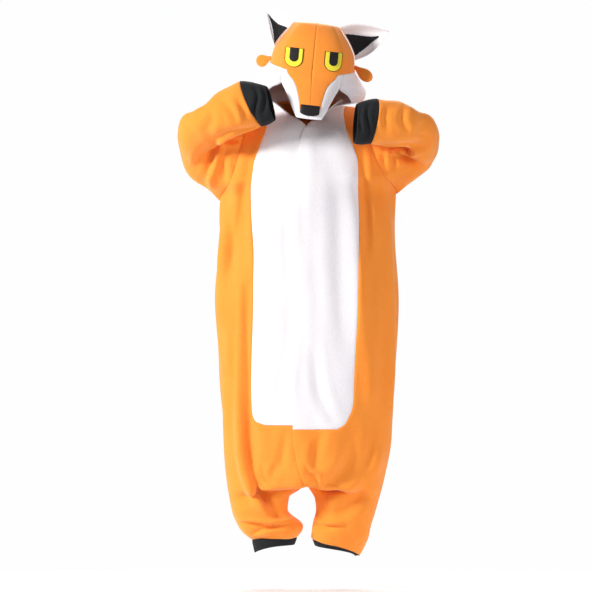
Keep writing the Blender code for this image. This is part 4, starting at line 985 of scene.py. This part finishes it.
def ear_root(side, width, facing, cloud):
    """The ear's root curve: a cupped line across the root, set down on the hood."""
    root, _, half, _ = (np.array(v) for v in EARS[side])
    knots = np.linspace(-1, 1, 81)[:, None]
    rough = root + knots * half + facing * EAR_CUP * (1 - knots ** 2)
    held = on_hood(rough, CLOTH / 2 + EAR_CLOTH / 2 + EAR_SEAT, cloud)
    return np.stack([np.interp(width, knots[:, 0], held[:, axis]) for axis in range(3)], axis=-1)


def ear_surface(side, along, across, cloud):
    """A cupped leaf: from a root curve on the hood (along = 0) to a rounded tip (along = 1)."""
    root, tip, half, swells = (np.array(v) for v in EARS[side])
    facing = unit(np.cross(tip - root, half))
    facing = facing * (1 if facing[1] > 0 else -1)
    held = ear_root(side, across, facing, cloud)
    length, width = along[..., None], across[..., None]
    leaf = tip + (held - tip) * (1 - length) ** EAR_TAPER
    edge_swell = np.where(width > 0, swells[0], swells[1])
    swell = unit(half) * edge_swell * width * np.sin(math.pi * length)
    cup = facing * EAR_CUP * 0.45 * (1 - width ** 2) * np.sin(math.pi * length)
    return leaf + swell + cup, -facing


def ear_shell_shares():
    """(along, across) over the whole of an ear."""
    return np.meshgrid(np.linspace(0, 0.985, 49), np.linspace(-1, 1, 41), indexing="ij")


def ear_lining_shares(side):
    """(along, across) over an ear's triangular lining, narrowing evenly to its point."""
    place = EAR_LINING[side]
    step, share = np.meshgrid(np.linspace(0, 1, 33), np.linspace(0, 1, 33), indexing="ij")
    across = place["low"] + (place["high"] - place["low"]) * share
    across = across + (place["point"] - across) * step * (1 - LINING_POINT)
    return place["near"] + (place["far"] - place["near"]) * step, across


def ear_piece(side, shares, forward, thickness, cloud):
    """A leaf of the ear's surface, with its faces rounded together at the rim like turned cloth."""
    grid, facing = ear_surface(side, *shares, cloud)
    rows, columns = grid.shape[:2]
    sides = 1 - np.abs(np.linspace(-1, 1, columns))[None, :]
    edge = np.minimum(sides, 2 - 2 * np.linspace(0, 1, rows)[:, None])
    full = np.sqrt(1 - (1 - np.clip(edge / 0.14, 0, 1)) ** 2)[..., None]
    swell = thickness / 2 * (0.35 + 0.65 * full)
    return slab(
        roll_head(grid + facing * (forward + swell)), roll_head(grid + facing * (forward - swell))
    )


def tuft(side, cloud):
    """A drop of padded fleece: narrow at its root, full near its tip, flattened."""
    root, tip = (np.array(v) for v in TUFTS[side])
    root = on_hood(root[None], CLOTH / 2 + TUFT_CLEARANCE, cloud)[0]
    along = unit(tip - root)
    across = unit(np.cross(along, (0.0, 1.0, 0.0)))
    thick = np.cross(along, across)
    share = np.linspace(0, 1, 29)
    neck = TUFT_NECK + (1 - TUFT_NECK) * ramp(share / TUFT_FULL_AT)
    tip_arc = np.sqrt(np.clip(1 - ((share - TUFT_FULL_AT) / TUFT_ROUND) ** 2, 0, 1))
    full = np.where(share < TUFT_FULL_AT, neck, tip_arc)[:, None, None]
    turn = np.linspace(0, 2 * math.pi, 41)[:-1][None, :, None]
    rings = (
        root + (tip - root) * share[:, None, None]
        + across * TUFT_HIGH * full * np.cos(turn) + thick * TUFT_THICK * full * np.sin(turn)
    )
    ends = np.stack([rings[0].mean(axis=0), rings[-1].mean(axis=0)])
    points = roll_head(np.concatenate([rings.reshape(-1, 3), ends]))
    index = np.arange(len(share) * turn.shape[1]).reshape(len(share), -1)
    ahead = np.roll(index, -1, axis=1)
    sides = np.stack([index[:-1], ahead[:-1], ahead[1:], index[1:]], axis=-1).reshape(-1, 4)
    first, last = np.full(index.shape[1], len(points) - 2), np.full(index.shape[1], len(points) - 1)
    caps = [
        np.stack([first, first, ahead[0], index[0]], axis=-1),
        np.stack([last, last, index[-1], ahead[-1]], axis=-1),
    ]
    return outward(points, np.concatenate([sides, *caps]))


def make_trims(materials):
    """The pieces sewn on to the hood: eyes, nose, ears and tufts."""
    cloud = hood_cloud()
    made = {}
    for side, sign in SIDES.items():
        lift = CLOTH / 2 + FACE_CLEARANCE
        for name, (half, length, finish) in EYE_FELTS.items():
            top = EYE_TOP - (EYE_INSET if name != "eye_rim" else 0.0)
            piece = felt(sign * EYE_X, top, half, length, lift, FELT)
            made[f"{side}_{name}"] = new_mesh(f"{side}_{name}_felt", *piece, materials[finish], finish)
            lift += FELT + SEAM_GAP
        shell = ear_piece(side, ear_shell_shares(), 0.0, EAR_CLOTH, cloud)
        lining = ear_piece(side, ear_lining_shares(side), EAR_CLOTH / 2 + LINING_LIFT, LINING_CLOTH, cloud)
        drop = tuft(side, cloud)
        for node, title, piece, finish in (
            ("ear_shell", "ear_fleece", shell, "white_fleece"),
            ("ear_lining", "ear_inset", lining, "black_fleece"),
            ("tuft", "fur_tuft", drop, "orange_fleece"),
        ):
            made[f"{side}_{node}"] = new_mesh(f"{side}_{title}", *piece, materials[finish], finish)
    lift = CLOTH / 2 + FACE_CLEARANCE
    nose = felt(0.0, NOSE_TOP, NOSE_HALF, NOSE_LENGTH, lift, NOSE_THICK, foot=0.35, crown=0.8)
    made["nose"] = new_mesh("nose_pad", *nose, materials["black_felt"], "black_felt")
    for node, obj in made.items():
        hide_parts(node)
        if node.endswith("tuft") or node == "nose":
            continue
        side, kind = node.split("_", 1)
        width, length, area = CUTS[node]


SLOT_OF = {"cuff": "black_rib", "belly": "white_fleece", "cheek": "white_fleece"}
# The cut of what shows of each piece, laid flat: width (all round on a tube), length, area.
CUTS = {
    "right_front": (0.31, 1.39, 0.231),
    "left_front": (0.35, 1.40, 0.255),
    "right_belly": (0.17, 1.01, 0.140),
    "left_belly": (0.19, 1.03, 0.162),
    "right_back": (0.33, 1.41, 0.363),
    "left_back": (0.33, 1.41, 0.376),
    "right_sleeve": (0.71, 0.57, 0.176),
    "left_sleeve": (0.69, 0.55, 0.163),
    "right_wrist_cuff": (0.38, 0.076, 0.0198),
    "left_wrist_cuff": (0.36, 0.063, 0.0185),
    "right_ankle_cuff": (0.36, 0.037, 0.0090),
    "left_ankle_cuff": (0.38, 0.023, 0.0063),
    "right_hood": (0.35, 0.42, 0.066),
    "left_hood": (0.34, 0.42, 0.066),
    "right_cheek": (0.32, 0.21, 0.049),
    "left_cheek": (0.32, 0.21, 0.048),
    "right_ear_shell": (0.095, 0.114, 0.0074),
    "left_ear_shell": (0.105, 0.140, 0.0105),
    "right_ear_lining": (0.054, 0.099, 0.0022),
    "left_ear_lining": (0.067, 0.093, 0.0031),
    "right_eye_rim": (0.065, 0.071, 0.0029),
    "left_eye_rim": (0.066, 0.070, 0.0028),
    "right_eye_yellow": (0.062, 0.068, 0.0025),
    "left_eye_yellow": (0.059, 0.066, 0.0024),
    "right_pupil": (0.029, 0.044, 0.0010),
    "left_pupil": (0.027, 0.042, 0.0010),
}


def make_garment(materials):
    """Sews the skin, creases it, and makes each cut piece."""
    skin = Skin()
    sew_body(skin)
    skin.sew()
    on_body = skin.touching("front") | skin.touching("belly") | skin.touching("back")
    share = 1 - (1 - BELLY_DRAPE) * skin.touching("belly")
    drape(skin, (on_body | skin.touching("sleeve")) * share)
    skin.find_normals()
    for seen_from, depth, width, lean, knots in CREASES:
        crease(skin, on_body, seen_from, depth, width, lean, knots)
    for name, seen_from, depth, width, lean, knots in SLEEVE_CREASES:
        crease(skin, skin.touching(name), seen_from, depth, width, lean, knots)
    skin.find_normals()
    for name in skin.names:
        slot = next((slot for word, slot in SLOT_OF.items() if word in name), "orange_fleece")
        sink = HOOD_SINK if "hood" in name else SEAM_SINK
        points, faces = skin.piece(name, CLOTH, sink)
        obj = new_mesh(name + "_cloth", points, faces, materials[slot], slot)
        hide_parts(name)
        width, length, area = CUTS[name]


def add_lamp(name, place, aim, size, power, colour):
    """A round soft lamp that the camera does not see."""
    light = bpy.data.lights.new(name, "AREA")
    light.shape = "DISK"
    light.size = size
    light.energy = power
    light.color = colour
    lamp = bpy.data.objects.new(name, light)
    bpy.context.scene.collection.objects.link(lamp)
    lamp.visible_camera = False
    lamp.location = place
    turn_towards(lamp, aim)


def turn_towards(obj, aim):
    """Turns a lamp or camera so that its own -Z points at the aim."""
    obj.rotation_euler = (Vector(aim) - obj.location).to_track_quat("-Z", "Y").to_euler()


FRAME_CENTRE = (-0.0286, 0.836)     # across, and above the floor
FRAME_SIDE = 1.694
CAMERA_DISTANCE = 30.0             # a long lens, so near cuffs and muzzle stay at their own heights
FLOOR_RADIUS = 2.0
SENSOR = 36.0
WORLD_LIGHT = 0.28                 # strength of the white room on the cloth; it is seen at full white


def make_stage():
    """Pale round floor, soft lamps from the left, and a camera level with the garment's middle."""
    turn = np.linspace(0, 2 * math.pi, 97)[:-1]
    rim = np.stack([np.cos(turn), np.sin(turn), 0 * turn], axis=-1) * FLOOR_RADIUS
    rim[:, 2] = -HOLD_HEIGHT
    mesh = bpy.data.meshes.new("floor")
    mesh.from_pydata(rim, [], [list(range(len(turn)))])
    floor = bpy.data.objects.new("floor", mesh)
    bpy.context.scene.collection.objects.link(floor)
    paper = bpy.data.materials.new("floor_paper")
    paper.use_nodes = True
    shader = paper.node_tree.nodes["Principled BSDF"]
    shader.inputs["Base Color"].default_value = (0.88, 0.88, 0.89, 1)
    shader.inputs["Roughness"].default_value = 0.9
    mesh.materials.append(paper)

    add_lamp("key", (-3.6, -2.1, 1.3), (0.0, 0.0, -0.4), 0.9, 245, (1.0, 0.98, 0.92))
    add_lamp("fill", (3.2, -2.6, 0.2), (0.0, 0.0, -0.4), 2.2, 62, (1.0, 0.96, 0.93))
    add_lamp("back_wash", (0.0, 2.2, 1.2), (0.0, 1.2, -1.3), 2.5, 110, (1.0, 1.0, 1.0))
    world = bpy.data.worlds.new("studio")
    bpy.context.scene.world = world
    world.use_nodes = True
    nodes, links = world.node_tree.nodes, world.node_tree.links
    ray, strength = nodes.new("ShaderNodeLightPath"), nodes.new("ShaderNodeMapRange")
    strength.inputs["To Min"].default_value = WORLD_LIGHT
    strength.inputs["To Max"].default_value = 1.0
    links.new(ray.outputs["Is Camera Ray"], strength.inputs["Value"])
    links.new(strength.outputs["Result"], nodes["Background"].inputs["Strength"])
    nodes["Background"].inputs["Color"].default_value = (0.99, 0.99, 1.0, 1)
    bpy.context.scene.view_settings.view_transform = "Standard"

    camera_data = bpy.data.cameras.new("camera")
    camera_data.sensor_width = SENSOR
    camera_data.lens = SENSOR * CAMERA_DISTANCE / FRAME_SIDE
    camera_data.clip_end = 4 * CAMERA_DISTANCE
    camera = bpy.data.objects.new("camera", camera_data)
    bpy.context.scene.collection.objects.link(camera)
    height = FRAME_CENTRE[1] - HOLD_HEIGHT
    camera.location = (FRAME_CENTRE[0], -CAMERA_DISTANCE, height)
    turn_towards(camera, (FRAME_CENTRE[0], 0.0, height))
    bpy.context.scene.camera = camera


make_stage()
materials = make_materials()
make_garment(materials)
make_trims(materials)
